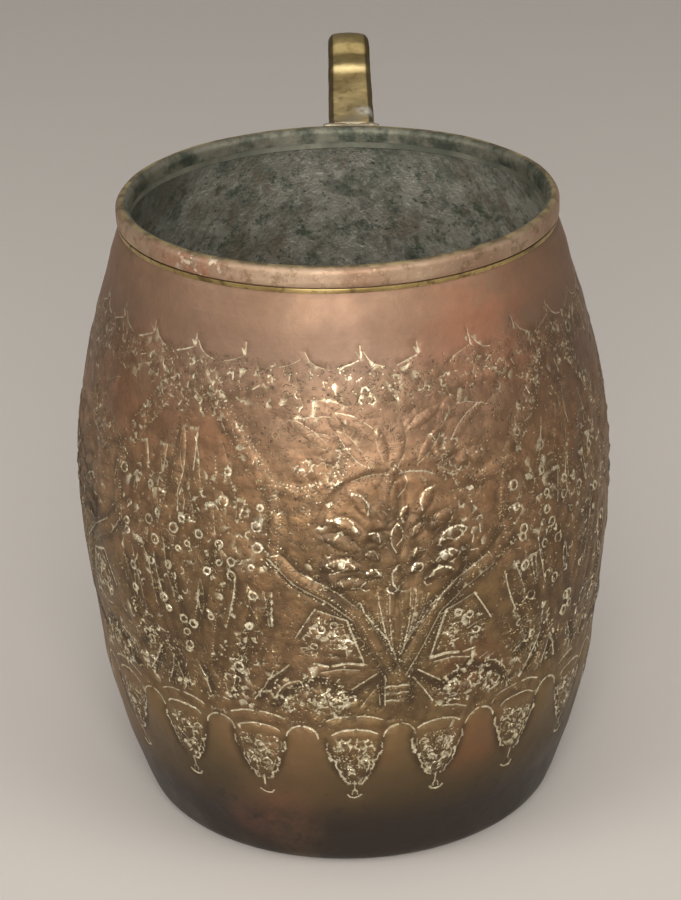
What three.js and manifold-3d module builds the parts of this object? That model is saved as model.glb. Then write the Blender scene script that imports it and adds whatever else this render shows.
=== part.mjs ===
// Barrel-shaped copper mug with a tinned inside, a folded rim band and a cast brass handle.
// Millimetres, +Z up. The origin is the centre of the flat base, and the handle points along +Y.
import * as THREE from 'three';
import { mergeVertices } from 'three/addons/utils/BufferGeometryUtils.js';
import Module from 'manifold-3d';

// Barrel.
const HEIGHT = 112.1;
const BASE_FLAT_RADIUS = 34;
const BASE_EDGE_RADIUS = 36.9;
const BASE_CORNER_RISE = 4.5;
const BARREL_STATIONS = [
  [38.2, BASE_CORNER_RISE],
  [43.6, 22],
  [46.0, 39.5],
  [47.5, 57],
  [46.6, 74],
  [43.0, 91.5],
  [37.9, 107.3],
];
const WALL = 0.9;
const BASE_THICKNESS = 1.2;
const ROUND_SEGMENTS = 64;
const WALL_ROWS = 14;
const LINING_ROWS = 10;
const CORNER_ROWS = 3;

// Rim: a vertical neck on the wall, with a folded strip over its edge and a braze line under each leg.
const NECK_RADIUS = 37.4;
const NECK_WALL = 0.8;
const NECK_FOOT = 107.9;
const BAND_RADIUS = 38.2;
const BAND_SHEET = 0.4;
const BAND_OUTER_FOOT = 108.7;
const BAND_INNER_FOOT = 109.3;
const BRAZE_HEIGHT = 0.5;
const BRAZE_OUTER_RADIUS = 38.1;
const CROWN_STEPS = 6;

// Lining, and the clearance between pieces that touch.
const LINING = 0.4;
const CLEARANCE = 0.25;
const LINING_TOP = 108.2;

// Handle, soldered on a little to one side of the barrel's middle plane, and its two joints.
const HANDLE_WIDTH = 8.6;
const HANDLE_CHAMFER = 0.9;
const HANDLE_ASIDE = 3;
const HANDLE_CURVE_STEPS = 3;
const SOLDER_THICKNESS = 0.5;
const SOLDER_MARGIN = 0.8;
const UPPER_JOINT = { low: 99.5, high: 111.9 };
const LOWER_JOINT = { low: 36, high: 55.5 };

// How far the solids that only cut others reach past them.
const OVERLAP = 4;
const REACH = 20;

const wasm = await Module();
wasm.setup();

const barrelCurve = new THREE.SplineCurve(BARREL_STATIONS.map(([r, z]) => new THREE.Vector2(r, z)));

/**
 * Outer outline, as [radius, height], of a barrel skin moved out by offset, with its floor at height floor.
 * A curve tangent to the flat floor rounds the base corner.
 */
function skinRows(offset, floor, rows) {
  const wall = barrelCurve.getPoints(rows).map((p) => new THREE.Vector2(p.x + offset, p.y));
  const corner = new THREE.QuadraticBezierCurve(
    new THREE.Vector2(BASE_FLAT_RADIUS + offset, floor),
    new THREE.Vector2(BASE_EDGE_RADIUS + offset, floor),
    wall[0],
  );
  return [...corner.getPoints(CORNER_ROWS).slice(0, -1), ...wall].map((p) => [p.x, p.y]);
}

/** Solid of revolution about Z. The outline runs anticlockwise with radius to the right and height up. */
function revolve(outline) {
  const closes = outline[0][0] > 0;
  const points = [...outline, ...(closes ? [outline[0]] : [])].map(([r, z]) => new THREE.Vector2(r, z));
  const geometry = new THREE.LatheGeometry(points, ROUND_SEGMENTS);
  geometry.rotateX(Math.PI / 2);
  return geometry;
}

function toManifold(geometry) {
  const bare = geometry.clone();
  bare.deleteAttribute('normal');
  bare.deleteAttribute('uv');
  const merged = mergeVertices(bare, 1e-4);
  return new wasm.Manifold(
    new wasm.Mesh({
      numProp: 3,
      vertProperties: new Float32Array(merged.attributes.position.array),
      triVerts: new Uint32Array(merged.index.array),
    }),
  );
}

function fromManifold(solid) {
  const mesh = solid.getMesh();
  const geometry = new THREE.BufferGeometry();
  geometry.setAttribute('position', new THREE.BufferAttribute(mesh.vertProperties, 3));
  geometry.setIndex(new THREE.BufferAttribute(mesh.triVerts, 1));
  geometry.computeVertexNormals();
  return geometry;
}

/** Extrudes a shape drawn in (Y, Z) to a total width centred on the handle's plane, with chamfered edges. */
function extrudeAcross(shape, width, chamfer, curveSegments) {
  const geometry = new THREE.ExtrudeGeometry(shape, {
    depth: width - 2 * chamfer,
    bevelEnabled: chamfer > 0,
    bevelThickness: chamfer,
    bevelSize: chamfer,
    bevelOffset: -chamfer,
    bevelSegments: 1,
    curveSegments,
  });
  geometry.translate(0, 0, -(width - 2 * chamfer) / 2);
  const acrossX = new THREE.Matrix4().makeBasis(
    new THREE.Vector3(0, 1, 0),
    new THREE.Vector3(0, 0, 1),
    new THREE.Vector3(1, 0, 0),
  );
  return geometry.applyMatrix4(acrossX).translate(HANDLE_ASIDE, 0, 0);
}

/** Copper wall and base in one: outside up to the neck, over the edge and back down the inside. */
function bodyShell() {
  const outside = [[0, 0], ...skinRows(0, 0, WALL_ROWS), [NECK_RADIUS, NECK_FOOT]];
  const edge = HEIGHT - BAND_SHEET - CLEARANCE;
  const lip = [
    [NECK_RADIUS, edge],
    [NECK_RADIUS - NECK_WALL, edge],
    [NECK_RADIUS - NECK_WALL, NECK_FOOT],
  ];
  const inside = [...skinRows(-WALL, BASE_THICKNESS, WALL_ROWS).reverse(), [0, BASE_THICKNESS]];
  return revolve([...outside, ...lip, ...inside]);
}

/** Thin tin skin, a clearance inside the copper, open at the mouth. */
function tinLining() {
  const outer = -WALL - CLEARANCE;
  const floor = BASE_THICKNESS + CLEARANCE;
  const neck = NECK_RADIUS - NECK_WALL - CLEARANCE;
  const outside = [
    [0, floor],
    ...skinRows(outer, floor, LINING_ROWS),
    [neck, NECK_FOOT],
    [neck, LINING_TOP],
  ];
  const inside = [
    [neck - LINING, LINING_TOP],
    [neck - LINING, NECK_FOOT],
    ...skinRows(outer - LINING, floor + LINING, LINING_ROWS).reverse(),
    [0, floor + LINING],
  ];
  return revolve([...outside, ...inside]);
}

/** Folded strip over the mouth's edge: an outer leg, a rounded top and a shorter inner leg. */
function rimBand() {
  const innerRadius = NECK_RADIUS - NECK_WALL - CLEARANCE - BAND_SHEET;
  const middle = (BAND_RADIUS + innerRadius) / 2;
  const half = (BAND_RADIUS - innerRadius) / 2;
  const crown = [];
  for (let i = 0; i <= CROWN_STEPS; i += 1) {
    const angle = (i / CROWN_STEPS) * Math.PI;
    crown.push([middle + half * Math.cos(angle), HEIGHT - half + half * Math.sin(angle)]);
  }
  const slotTop = HEIGHT - BAND_SHEET;
  return revolve([
    [BAND_RADIUS - BAND_SHEET, BAND_OUTER_FOOT],
    [BAND_RADIUS, BAND_OUTER_FOOT],
    ...crown,
    [innerRadius, BAND_INNER_FOOT],
    [innerRadius + BAND_SHEET, BAND_INNER_FOOT],
    [innerRadius + BAND_SHEET, slotTop],
    [BAND_RADIUS - BAND_SHEET, slotTop],
  ]);
}

/** A small ring with a square section. */
function ring(innerRadius, outerRadius, low, high) {
  return revolve([
    [innerRadius, low],
    [outerRadius, low],
    [outerRadius, high],
    [innerRadius, high],
  ]);
}

function rimBrazeOuter() {
  const high = BAND_OUTER_FOOT - CLEARANCE;
  return ring(NECK_RADIUS + CLEARANCE, BRAZE_OUTER_RADIUS, high - BRAZE_HEIGHT, high);
}

function rimBrazeInner() {
  const outer = NECK_RADIUS - NECK_WALL - CLEARANCE;
  const high = BAND_INNER_FOOT - CLEARANCE;
  return ring(outer - LINING, outer, high - BRAZE_HEIGHT, high);
}

/** Solid barrel with its rim, moved out by offset: what a joint on the outside has to clear. */
function barrelEnvelope(offset) {
  const rimRadius = BAND_RADIUS + offset;
  const rows = skinRows(offset, -offset, WALL_ROWS).filter(([r, z]) => z < NECK_FOOT / 2 || r > rimRadius);
  const overTop = HEIGHT + REACH;
  const rim = [
    [rimRadius, NECK_FOOT],
    [rimRadius, overTop],
    [0, overTop],
  ];
  return toManifold(revolve([[0, -offset], ...rows, ...rim]));
}

/** Side view of the handle in (Y, Z): its outside from the rim round to the belly, then its inside back. */
function handleOutline() {
  const shape = new THREE.Shape();
  shape.moveTo(34, 111.9);
  shape.lineTo(42.5, 112.3);
  shape.lineTo(57, 116.3);
  shape.lineTo(58, 117.6);
  shape.lineTo(62.5, 118.4);
  shape.lineTo(63.8, 120.1);
  shape.splineThru(
    [
      [66.4, 120.9],
      [69.6, 120.5],
      [73.2, 118.9],
      [77.6, 114.6],
      [80.7, 108],
      [82.3, 99],
      [82, 87],
      [79.3, 75],
      [74.3, 63.6],
      [67.4, 54],
      [59.6, 47],
      [53.6, 42.7],
      [50, 39.4],
      [47.8, 35.5],
    ].map(([y, z]) => new THREE.Vector2(y, z)),
  );
  shape.lineTo(40, 35.5);
  shape.lineTo(40, 56);
  shape.lineTo(48.6, 56);
  shape.splineThru(
    [
      [50.6, 53.7],
      [53.8, 53.2],
      [58.6, 55.3],
      [64, 59.7],
      [70.2, 67.4],
      [74.8, 77],
      [77, 88],
      [77.2, 98],
      [75.8, 105.4],
      [72.4, 110.4],
      [66.6, 112.3],
      [59, 111.2],
      [51, 108.9],
      [45.4, 106.2],
      [42.9, 103.4],
      [41.9, 99.8],
    ].map(([y, z]) => new THREE.Vector2(y, z)),
  );
  shape.lineTo(34, 99.8);
  shape.closePath();
  return shape;
}

/** Cast strap, trimmed at both feet where the solder joints begin. */
function handle() {
  const strap = toManifold(extrudeAcross(handleOutline(), HANDLE_WIDTH, HANDLE_CHAMFER, HANDLE_CURVE_STEPS));
  return fromManifold(strap.subtract(barrelEnvelope(2 * CLEARANCE + SOLDER_THICKNESS)));
}

/** Solder layer between the barrel and a handle foot, a little wider than the foot all round. */
function solderPad({ low, high }) {
  const shape = new THREE.Shape();
  shape.moveTo(NECK_RADIUS - OVERLAP, low);
  shape.lineTo(NECK_RADIUS + REACH, low);
  shape.lineTo(NECK_RADIUS + REACH, high);
  shape.lineTo(NECK_RADIUS - OVERLAP, high);
  shape.closePath();
  const block = toManifold(extrudeAcross(shape, HANDLE_WIDTH + 2 * SOLDER_MARGIN, 0, 1));
  const layer = barrelEnvelope(CLEARANCE + SOLDER_THICKNESS).subtract(barrelEnvelope(CLEARANCE));
  return fromManifold(block.intersect(layer));
}

function metal(color, roughness) {
  return new THREE.MeshStandardMaterial({ color, roughness, metalness: 1 });
}

function piece(name, geometry, material) {
  const mesh = new THREE.Mesh(geometry, material);
  mesh.name = name;
  return mesh;
}

const mug = new THREE.Group();
mug.add(
  piece('body_shell', bodyShell(), metal(0x7d5238, 0.42)),
  piece('rim_band', rimBand(), metal(0x8a6047, 0.38)),
  piece('rim_braze_outer', rimBrazeOuter(), metal(0xa98445, 0.35)),
  piece('rim_braze_inner', rimBrazeInner(), metal(0x9c8650, 0.4)),
  piece('tin_lining', tinLining(), metal(0x6f7068, 0.6)),
  piece('handle', handle(), metal(0x8c7340, 0.4)),
  piece('handle_solder_upper', solderPad(UPPER_JOINT), metal(0xa9a79c, 0.5)),
  piece('handle_solder_lower', solderPad(LOWER_JOINT), metal(0xa9a79c, 0.5)),
);

export default mug;
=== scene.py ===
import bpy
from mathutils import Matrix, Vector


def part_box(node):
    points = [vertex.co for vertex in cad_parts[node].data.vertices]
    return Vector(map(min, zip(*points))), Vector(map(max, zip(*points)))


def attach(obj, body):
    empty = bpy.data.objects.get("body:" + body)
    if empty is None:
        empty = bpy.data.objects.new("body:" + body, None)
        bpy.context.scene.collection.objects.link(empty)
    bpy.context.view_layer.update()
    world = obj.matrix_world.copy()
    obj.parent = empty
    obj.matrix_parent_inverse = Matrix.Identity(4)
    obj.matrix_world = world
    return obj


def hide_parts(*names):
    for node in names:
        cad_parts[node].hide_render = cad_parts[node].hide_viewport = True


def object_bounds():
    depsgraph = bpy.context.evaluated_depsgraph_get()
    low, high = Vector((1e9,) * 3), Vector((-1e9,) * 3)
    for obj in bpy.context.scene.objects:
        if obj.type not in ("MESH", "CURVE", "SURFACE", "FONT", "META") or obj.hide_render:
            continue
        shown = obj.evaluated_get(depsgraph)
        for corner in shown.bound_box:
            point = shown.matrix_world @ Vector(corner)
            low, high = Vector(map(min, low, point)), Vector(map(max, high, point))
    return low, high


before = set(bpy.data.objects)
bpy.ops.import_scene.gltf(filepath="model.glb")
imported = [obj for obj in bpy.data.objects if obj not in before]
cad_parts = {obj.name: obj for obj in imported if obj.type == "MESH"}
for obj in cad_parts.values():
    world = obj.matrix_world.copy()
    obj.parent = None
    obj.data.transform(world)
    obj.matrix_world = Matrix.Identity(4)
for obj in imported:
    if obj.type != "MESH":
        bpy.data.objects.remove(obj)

import copy
import math
import random

import bmesh
import bpy
import numpy as np
from mathutils import Matrix, Vector
from mathutils.geometry import delaunay_2d_cdt

# A barrel-shaped engraved copper mug with a tinned inside and a cast brass handle.
# Angles run round the barrel in degrees from the -Y side towards +X, so the handle is at 180.
# Shapes are worked out in millimetres and turned into metres where a mesh is made.

MM = 0.001
TURN = 360.0
cad_low, cad_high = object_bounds()
HANDLE_ASIDE = 3.0


# ================================================================ camera, light and floor

# Degrees and metres. The camera stands opposite the handle, slightly rolled, and aims close to the axis.
VIEW_ELEVATION = 23.87
VIEW_ROLL = -1.51
VIEW_DISTANCE = 0.523
VIEW_LENS = 117.1
NEAREST = 0.01
AIM_HEIGHT = 0.0634
AIM_SIDE = -0.0006

# Name, azimuth, elevation, distance, width, height and power of each soft light.
LIGHTS = (
    ("key", 2, 19, 1.0, 0.5, 0.75, 6.4),
    ("front_low", -10, 2, 1.1, 0.7, 0.7, 4.4),
    ("side_left", -62, 26, 1.2, 0.8, 0.8, 5.4),
    ("side_right", 58, 28, 1.2, 0.8, 0.8, 4.1),
    ("top", 10, 80, 1.3, 0.9, 0.9, 5),
    ("mouth", 0, 34, 1.0, 0.4, 0.4, 2.4),
)
LIGHT_AIM = Vector((0, 0, 0.075))
WARM_WHITE = (1.0, 0.985, 0.97)
ROOM_COLOUR = (0.62, 0.59, 0.56, 1)
ROOM_STRENGTH = 0.36
FLOOR_COLOUR = (190, 183, 175)
FLOOR_HALF = 3.0
FLOOR_DROP = 0.00005


def make_camera():
    """A camera on the side opposite the handle, looking down into the mouth."""
    e, roll = math.radians(VIEW_ELEVATION), math.radians(VIEW_ROLL)
    forward = Vector((0, math.cos(e), -math.sin(e)))
    level_up = Vector((0, math.sin(e), math.cos(e)))
    across = Vector((1, 0, 0))
    right = across * math.cos(roll) + level_up * math.sin(roll)
    up = level_up * math.cos(roll) - across * math.sin(roll)
    data = bpy.data.cameras.new("camera")
    data.lens = VIEW_LENS
    data.clip_start = NEAREST
    camera = bpy.data.objects.new("camera", data)
    place = Vector((AIM_SIDE, 0, AIM_HEIGHT)) - forward * VIEW_DISTANCE
    camera.matrix_world = Matrix.Translation(place) @ Matrix((right, up, -forward)).transposed().to_4x4()
    bpy.context.scene.collection.objects.link(camera)
    bpy.context.scene.camera = camera


def area_light(name, azimuth, elevation, distance, width, height, power):
    a, e = math.radians(azimuth), math.radians(elevation)
    back = Vector((math.sin(a) * math.cos(e), -math.cos(a) * math.cos(e), math.sin(e)))
    data = bpy.data.lights.new(name, "AREA")
    data.shape = "ELLIPSE"
    data.size = width
    data.size_y = height
    data.energy = power
    data.color = WARM_WHITE if name == "key" else (1, 1, 1)
    light = bpy.data.objects.new(name, data)
    light.location = LIGHT_AIM + back * distance
    light.rotation_mode = "QUATERNION"
    light.rotation_quaternion = back.to_track_quat("Z", "Y")
    bpy.context.scene.collection.objects.link(light)


def make_lights():
    for light in LIGHTS:
        area_light(*light)
    world = bpy.data.worlds.new("studio")
    world.use_nodes = True
    background = world.node_tree.nodes["Background"]
    background.inputs["Color"].default_value = ROOM_COLOUR
    background.inputs["Strength"].default_value = ROOM_STRENGTH
    bpy.context.scene.world = world
    bpy.context.scene.view_settings.view_transform = "Standard"


# ================================================================ node materials

def srgb(*colour):
    """A colour picked as screen values from 0 to 255, as the linear values that shaders take."""
    linear = [((c / 255 + 0.055) / 1.055) ** 2.4 if c > 10 else c / 255 / 12.92 for c in colour]
    return (*linear, 1.0)


class Graph:
    """Short calls for building one material's nodes; each material below calls its graph g."""

    def __init__(self, name):
        self.material = bpy.data.materials.new(name)
        self.material.use_nodes = True
        self.tree = self.material.node_tree
        self.shader = self.tree.nodes["Principled BSDF"]
        self.place = self.add("ShaderNodeTexCoord").outputs["Object"]

    def add(self, kind, settings=None, **inputs):
        node = self.tree.nodes.new(kind)
        for key, value in (settings or {}).items():
            setattr(node, key, value)
        for key, value in inputs.items():
            self.feed(node.inputs[key], value)
        return node

    def feed(self, socket, value):
        if isinstance(value, bpy.types.NodeSocket):
            self.tree.links.new(value, socket)
        else:
            socket.default_value = value

    def attribute(self, name):
        return self.add("ShaderNodeAttribute", {"attribute_name": name}).outputs["Fac"]

    def stretched(self, x, y, z, offset=(0, 0, 0)):
        node = self.add("ShaderNodeMapping", Vector=self.place)
        node.inputs["Scale"].default_value = (x, y, z)
        node.inputs["Location"].default_value = offset
        return node.outputs["Vector"]

    def noise(self, scale, detail=4.0, rough=0.55, vector=None, distortion=0.0):
        node = self.add(
            "ShaderNodeTexNoise", Vector=vector or self.place, Scale=scale, Detail=detail, Roughness=rough,
            Distortion=distortion,
        )
        return node.outputs["Fac"]

    def spots(self, scale, vector=None):
        node = self.add("ShaderNodeTexVoronoi", Vector=vector or self.place, Scale=scale)
        return node.outputs["Distance"]

    def ramp(self, factor, low, high, bottom=0.0, top=1.0):
        """factor mapped from low..high to bottom..top, clamped, with soft ends."""
        node = self.add("ShaderNodeMapRange", {"interpolation_type": "SMOOTHSTEP"}, Value=factor)
        for key, value in (("From Min", low), ("From Max", high), ("To Min", bottom), ("To Max", top)):
            node.inputs[key].default_value = value
        return node.outputs["Result"]

    def math(self, operation, a, b):
        node = self.add("ShaderNodeMath", {"operation": operation})
        self.feed(node.inputs[0], a)
        self.feed(node.inputs[1], b)
        return node.outputs["Value"]

    def times(self, first, *others):
        for other in others:
            first = self.math("MULTIPLY", first, other)
        return first

    def plus(self, a, b):
        return self.math("ADD", a, b)

    def mix(self, factor, a, b):
        node = self.add("ShaderNodeMix", {"data_type": "RGBA"})
        self.feed(node.inputs[0], factor)
        self.feed(node.inputs[6], a)
        self.feed(node.inputs[7], b)
        return node.outputs[2]

    def blend(self, factor, first, second):
        """One of two colours of screen values, by factor."""
        return self.mix(factor, srgb(*first), srgb(*second))

    def tint(self, base, factor, *colour):
        """base with a colour of screen values laid over it by factor."""
        return self.mix(factor, base, srgb(*colour))

    def axis(self, name):
        return self.add("ShaderNodeSeparateXYZ", Vector=self.place).outputs[name]

    def bump(self, height, distance, strength=1.0, normal=None):
        node = self.add("ShaderNodeBump", Height=height)
        node.inputs["Distance"].default_value = distance
        node.inputs["Strength"].default_value = strength
        if normal is not None:
            self.feed(node.inputs["Normal"], normal)
        return node.outputs["Normal"]

    def finish(self, colour, roughness, normal, metallic=1.0):
        self.feed(self.shader.inputs["Base Color"], colour)
        self.feed(self.shader.inputs["Roughness"], roughness)
        self.feed(self.shader.inputs["Normal"], normal)
        self.feed(self.shader.inputs["Metallic"], metallic)
        return self.material


def near(g, x, y, z, size):
    """1 at a place in metres on the mug, falling to 0 over size."""
    node = g.add("ShaderNodeVectorMath", {"operation": "DISTANCE"})
    g.feed(node.inputs[0], g.place)
    node.inputs[1].default_value = (x, y, z)
    return g.ramp(node.outputs["Value"], 0.0, size, 1.0, 0.0)


def on_wall(angle, height, radius=45.0):
    """A place on the barrel in metres, from its angle and its height in millimetres."""
    a = math.radians(angle)
    return radius * math.sin(a) * MM, -radius * math.cos(a) * MM, height * MM


COPPER_PATCHES = (
    (28, 24.5, 10, (142, 92, 60), 0.6),
    (36, 100, 22, (170, 108, 74), 0.5),
    (-19, 10, 12, (138, 90, 68), 0.7),
    (-26, 8, 10, (136, 88, 66), 0.6),
    (-52, 88, 16, (150, 96, 60), 0.45),
    (27, 42, 10, (140, 84, 58), 0.6),
    (-30, 84, 9, (158, 108, 72), 0.4),
    (-45, 68, 12, (140, 92, 60), 0.45),
    (5, 28, 9, (150, 104, 62), 0.4),
    (150, 30, 16, (156, 98, 62), 0.5),
    (-130, 70, 18, (150, 96, 64), 0.45),
    (95, 18, 14, (150, 92, 60), 0.5),
)


def copper_wall_material():
    """Warm, unevenly tarnished copper; heights here are in metres and reach from the foot to the neck."""
    g = Graph("worn_copper_wall")
    height = g.axis("Z")
    zone = g.times(g.ramp(height, 0.0295, 0.0325), g.ramp(height, 0.098, 0.090))
    patchy = g.ramp(g.noise(75, 3), 0.35, 0.6, 0.28, 0.5)
    quiet = g.ramp(g.attribute("calm"), 0.2, 0.8, 1.0, 0.12)
    rich = g.math("MAXIMUM", g.attribute("rich"), g.times(zone, patchy))
    broad = g.noise(38, 5, 0.6)
    base = g.blend(g.ramp(broad, 0.35, 0.66), (138, 102, 70), (160, 124, 92))
    base = g.tint(base, g.ramp(g.noise(300, 4, 0.65), 0.45, 0.7, 0, 0.4), 104, 78, 54)
    olive = g.times(g.ramp(height, 0.092, 0.045), g.ramp(g.noise(24, 5, 0.6), 0.34, 0.62, 0.35, 0.95))
    base = g.tint(base, olive, 122, 99, 63)
    # Painted shade: a band round the upper barrel is darkened to hold down the highlight that the lamps lay
    # there.
    painted_shade_belt = g.times(g.ramp(height, 0.076, 0.088), g.ramp(height, 0.106, 0.096))
    base = g.tint(base, g.times(painted_shade_belt, 0.55), 112, 88, 70)
    shoulder = g.ramp(height, 0.088, 0.100)
    # Painted shade: the shoulder is tinted darker and greyer to tone down the highlight there.
    base = g.tint(base, g.times(shoulder, 0.6), 122, 97, 80)
    low = g.times(g.ramp(height, 0.032, 0.016), g.ramp(g.noise(22, 4), 0.3, 0.6, 0.55, 1.0))
    base = g.tint(base, low, 82, 67, 44)
    foot = g.times(g.ramp(height, 0.018, 0.009), g.ramp(g.noise(60, 6, 0.65), 0.28, 0.5, 0.4, 1.0))
    base = g.tint(base, foot, 56, 46, 38)
    for angle, z, size, colour, strength in COPPER_PATCHES:
        spotted = g.ramp(g.noise(95, 5, 0.7), 0.3, 0.6, 0, strength)
        base = g.tint(base, g.times(near(g, *on_wall(angle, z), size * MM), spotted), *colour)
    stain = g.times(g.ramp(height, 0.026, 0.006), g.ramp(g.noise(330, 5, 0.7), 0.56, 0.66))
    base = g.tint(base, g.times(stain, 0.75), 52, 42, 38)
    dirt = g.ramp(g.noise(420, 4, 0.7), 0.4, 0.62)
    base = g.tint(base, g.times(rich, dirt, 0.7), 78, 60, 38)
    gleam = g.ramp(height, 0.062, 0.084, 1.0, 0.5)
    hollow = g.ramp(g.attribute("hollow"), 0.04, 0.7, 0, 0.85)
    base = g.tint(base, g.times(hollow, gleam), 68, 52, 32)

    bent = g.add("ShaderNodeVectorMath", {"operation": "MULTIPLY_ADD"})
    g.feed(bent.inputs[0], g.add("ShaderNodeTexNoise", Vector=g.place, Scale=160.0).outputs["Color"])
    bent.inputs[1].default_value = (0.004, 0.004, 0.004)
    g.feed(bent.inputs[2], g.place)
    cells = g.spots(360, bent.outputs["Vector"])
    free = g.times(g.times(zone, quiet), g.ramp(height, 0.072, 0.088, 1.0, 0.3))
    gap = g.times(g.ramp(cells, 0.42, 0.75), free)
    base = g.tint(base, g.times(gap, 0.5), 82, 62, 40)
    # sparkle scatters painted highlights: flecks where the marks and cuts would catch the light.
    sparkle = g.ramp(g.noise(1150, 3, 0.65), 0.43, 0.56)
    lines = g.math("PINGPONG", g.times(g.noise(560, 1.5, 0.5), 7.0), 0.5)
    lines = g.ramp(lines, 0.13, 0.05)
    punches = g.ramp(g.spots(1050), 0.3, 0.2)
    kind = g.ramp(g.noise(190, 2), 0.47, 0.53)
    fine = g.mix(kind, lines, punches)
    fine = g.times(fine, g.ramp(rich, 0.12, 0.65))
    fine = g.times(fine, g.ramp(g.noise(480, 2, 0.5, g.stretched(1, 1, 1, (4, 2, 8))), 0.42, 0.52))
    base = g.tint(base, g.times(fine, 0.65), 70, 52, 32)
    # pale is the light metal in the cuts with painted highlights over it; the dimmer tone after it paints
    # highlights on flecks of the fine marks.
    pale = g.blend(g.noise(260, 3), (252, 246, 224), (216, 200, 152))
    painted_glint_tone = g.blend(g.noise(260, 3), (226, 208, 166), (182, 158, 110))
    bright_fine = g.times(g.times(sparkle, gleam), g.ramp(rich, 0.3, 0.7, 0.45, 1.0))
    base = g.mix(g.times(fine, bright_fine), base, painted_glint_tone)
    cut = g.attribute("cut")
    # shine paints highlights on the cuts over their own pale metal, broken up by sparkle and fainter higher
    # up the barrel.
    lively = g.plus(g.times(sparkle, 0.5), 0.5)
    shine = g.times(g.ramp(cut, 0.1, 0.5), g.times(lively, gleam))
    base = g.tint(base, g.ramp(cut, 0.05, 0.5, 0, 0.5), 126, 104, 66)
    base = g.mix(shine, base, pale)

    rough = g.ramp(g.noise(120, 5, 0.6), 0.3, 0.7, 0.44, 0.58)
    rough = g.plus(rough, g.times(shoulder, 0.1))
    rough = g.math("SUBTRACT", rough, g.times(shine, 0.24))
    lathe = g.noise(1.0, 3, 0.6, g.stretched(14, 14, 1500))
    normal = g.bump(g.noise(70, 3, 0.5), 0.0012, 0.35)
    normal = g.bump(lathe, 0.00006, 0.5, normal)
    normal = g.bump(g.noise(900, 3, 0.6), 0.00014, 0.5, normal)
    chased = g.times(g.noise(520, 3, 0.6), free)
    normal = g.bump(chased, 0.0004, 0.5, normal)
    normal = g.bump(g.times(cells, free, -1.0), 0.0004, 0.5, normal)
    normal = g.bump(g.times(fine, gleam, -1.0), 0.0003, 1.0, normal)
    g.shader.inputs["Coat Weight"].default_value = 0.22
    g.shader.inputs["Coat Roughness"].default_value = 0.5
    g.shader.inputs["Coat IOR"].default_value = 1.7
    return g.finish(base, rough, normal, 0.93)


def rim_copper_material():
    """Rubbed copper outside, brassy over the crown and tarnished down the inner leg."""
    g = Graph("rubbed_copper_band")
    base = g.blend(g.ramp(g.noise(55, 5, 0.6), 0.35, 0.65), (144, 116, 94), (168, 144, 120))
    base = g.tint(base, g.ramp(g.noise(420, 4, 0.65), 0.5, 0.66, 0, 0.6), 112, 90, 66)
    base = g.tint(base, g.ramp(g.noise(1300, 3, 0.7), 0.56, 0.66, 0, 0.35), 190, 166, 136)
    red = g.times(near(g, *on_wall(-40, 111, 37.5), 0.014), g.ramp(g.noise(240, 4, 0.7), 0.44, 0.56))
    base = g.tint(base, g.times(red, 0.45), 158, 96, 72)
    bright = g.times(near(g, *on_wall(-37, 111, 37.5), 0.008), g.ramp(g.noise(520, 3, 0.7), 0.52, 0.6))
    base = g.tint(base, g.times(bright, 0.9), 226, 210, 184)
    inner = g.attribute("inner")
    brassy = g.ramp(inner, 0.2, 0.42, 0, 0.8)
    brass = g.blend(g.ramp(g.noise(300, 4), 0.4, 0.6), (176, 160, 116), (116, 104, 76))
    base = g.mix(brassy, base, brass)
    tarnish = g.blend(g.ramp(g.noise(220, 5, 0.7), 0.36, 0.62), (76, 80, 68), (128, 124, 108))
    base = g.mix(g.ramp(inner, 0.5, 0.66), base, tarnish)
    rough = g.plus(g.ramp(g.noise(180, 4), 0.3, 0.7, 0.52, 0.66), g.ramp(inner, 0.5, 0.8, 0, 0.04))
    rubbed = g.noise(1.0, 3, 0.6, g.stretched(60, 60, 1800))
    normal = g.bump(rubbed, 0.00005, 0.5)
    normal = g.bump(g.noise(700, 4, 0.65), 0.0002, 0.5, normal)
    return g.finish(base, rough, normal, 0.9)


def braze_material(name, light, dark, dullness=0.0):
    """Braze metal in two colours of screen values; dullness makes it rougher and less metallic."""
    g = Graph(name)
    base = g.blend(g.ramp(g.noise(90, 4), 0.35, 0.65), light, dark)
    base = g.tint(base, g.ramp(g.noise(700, 3), 0.52, 0.68, 0, 0.7 - 2 * dullness), 92, 76, 50)
    rough = g.ramp(g.noise(300, 3), 0.3, 0.7, 0.34 + dullness, 0.5 + dullness)
    return g.finish(base, rough, g.bump(g.noise(500, 4), 0.00015, 0.5), 1.0 - 2 * dullness)


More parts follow.
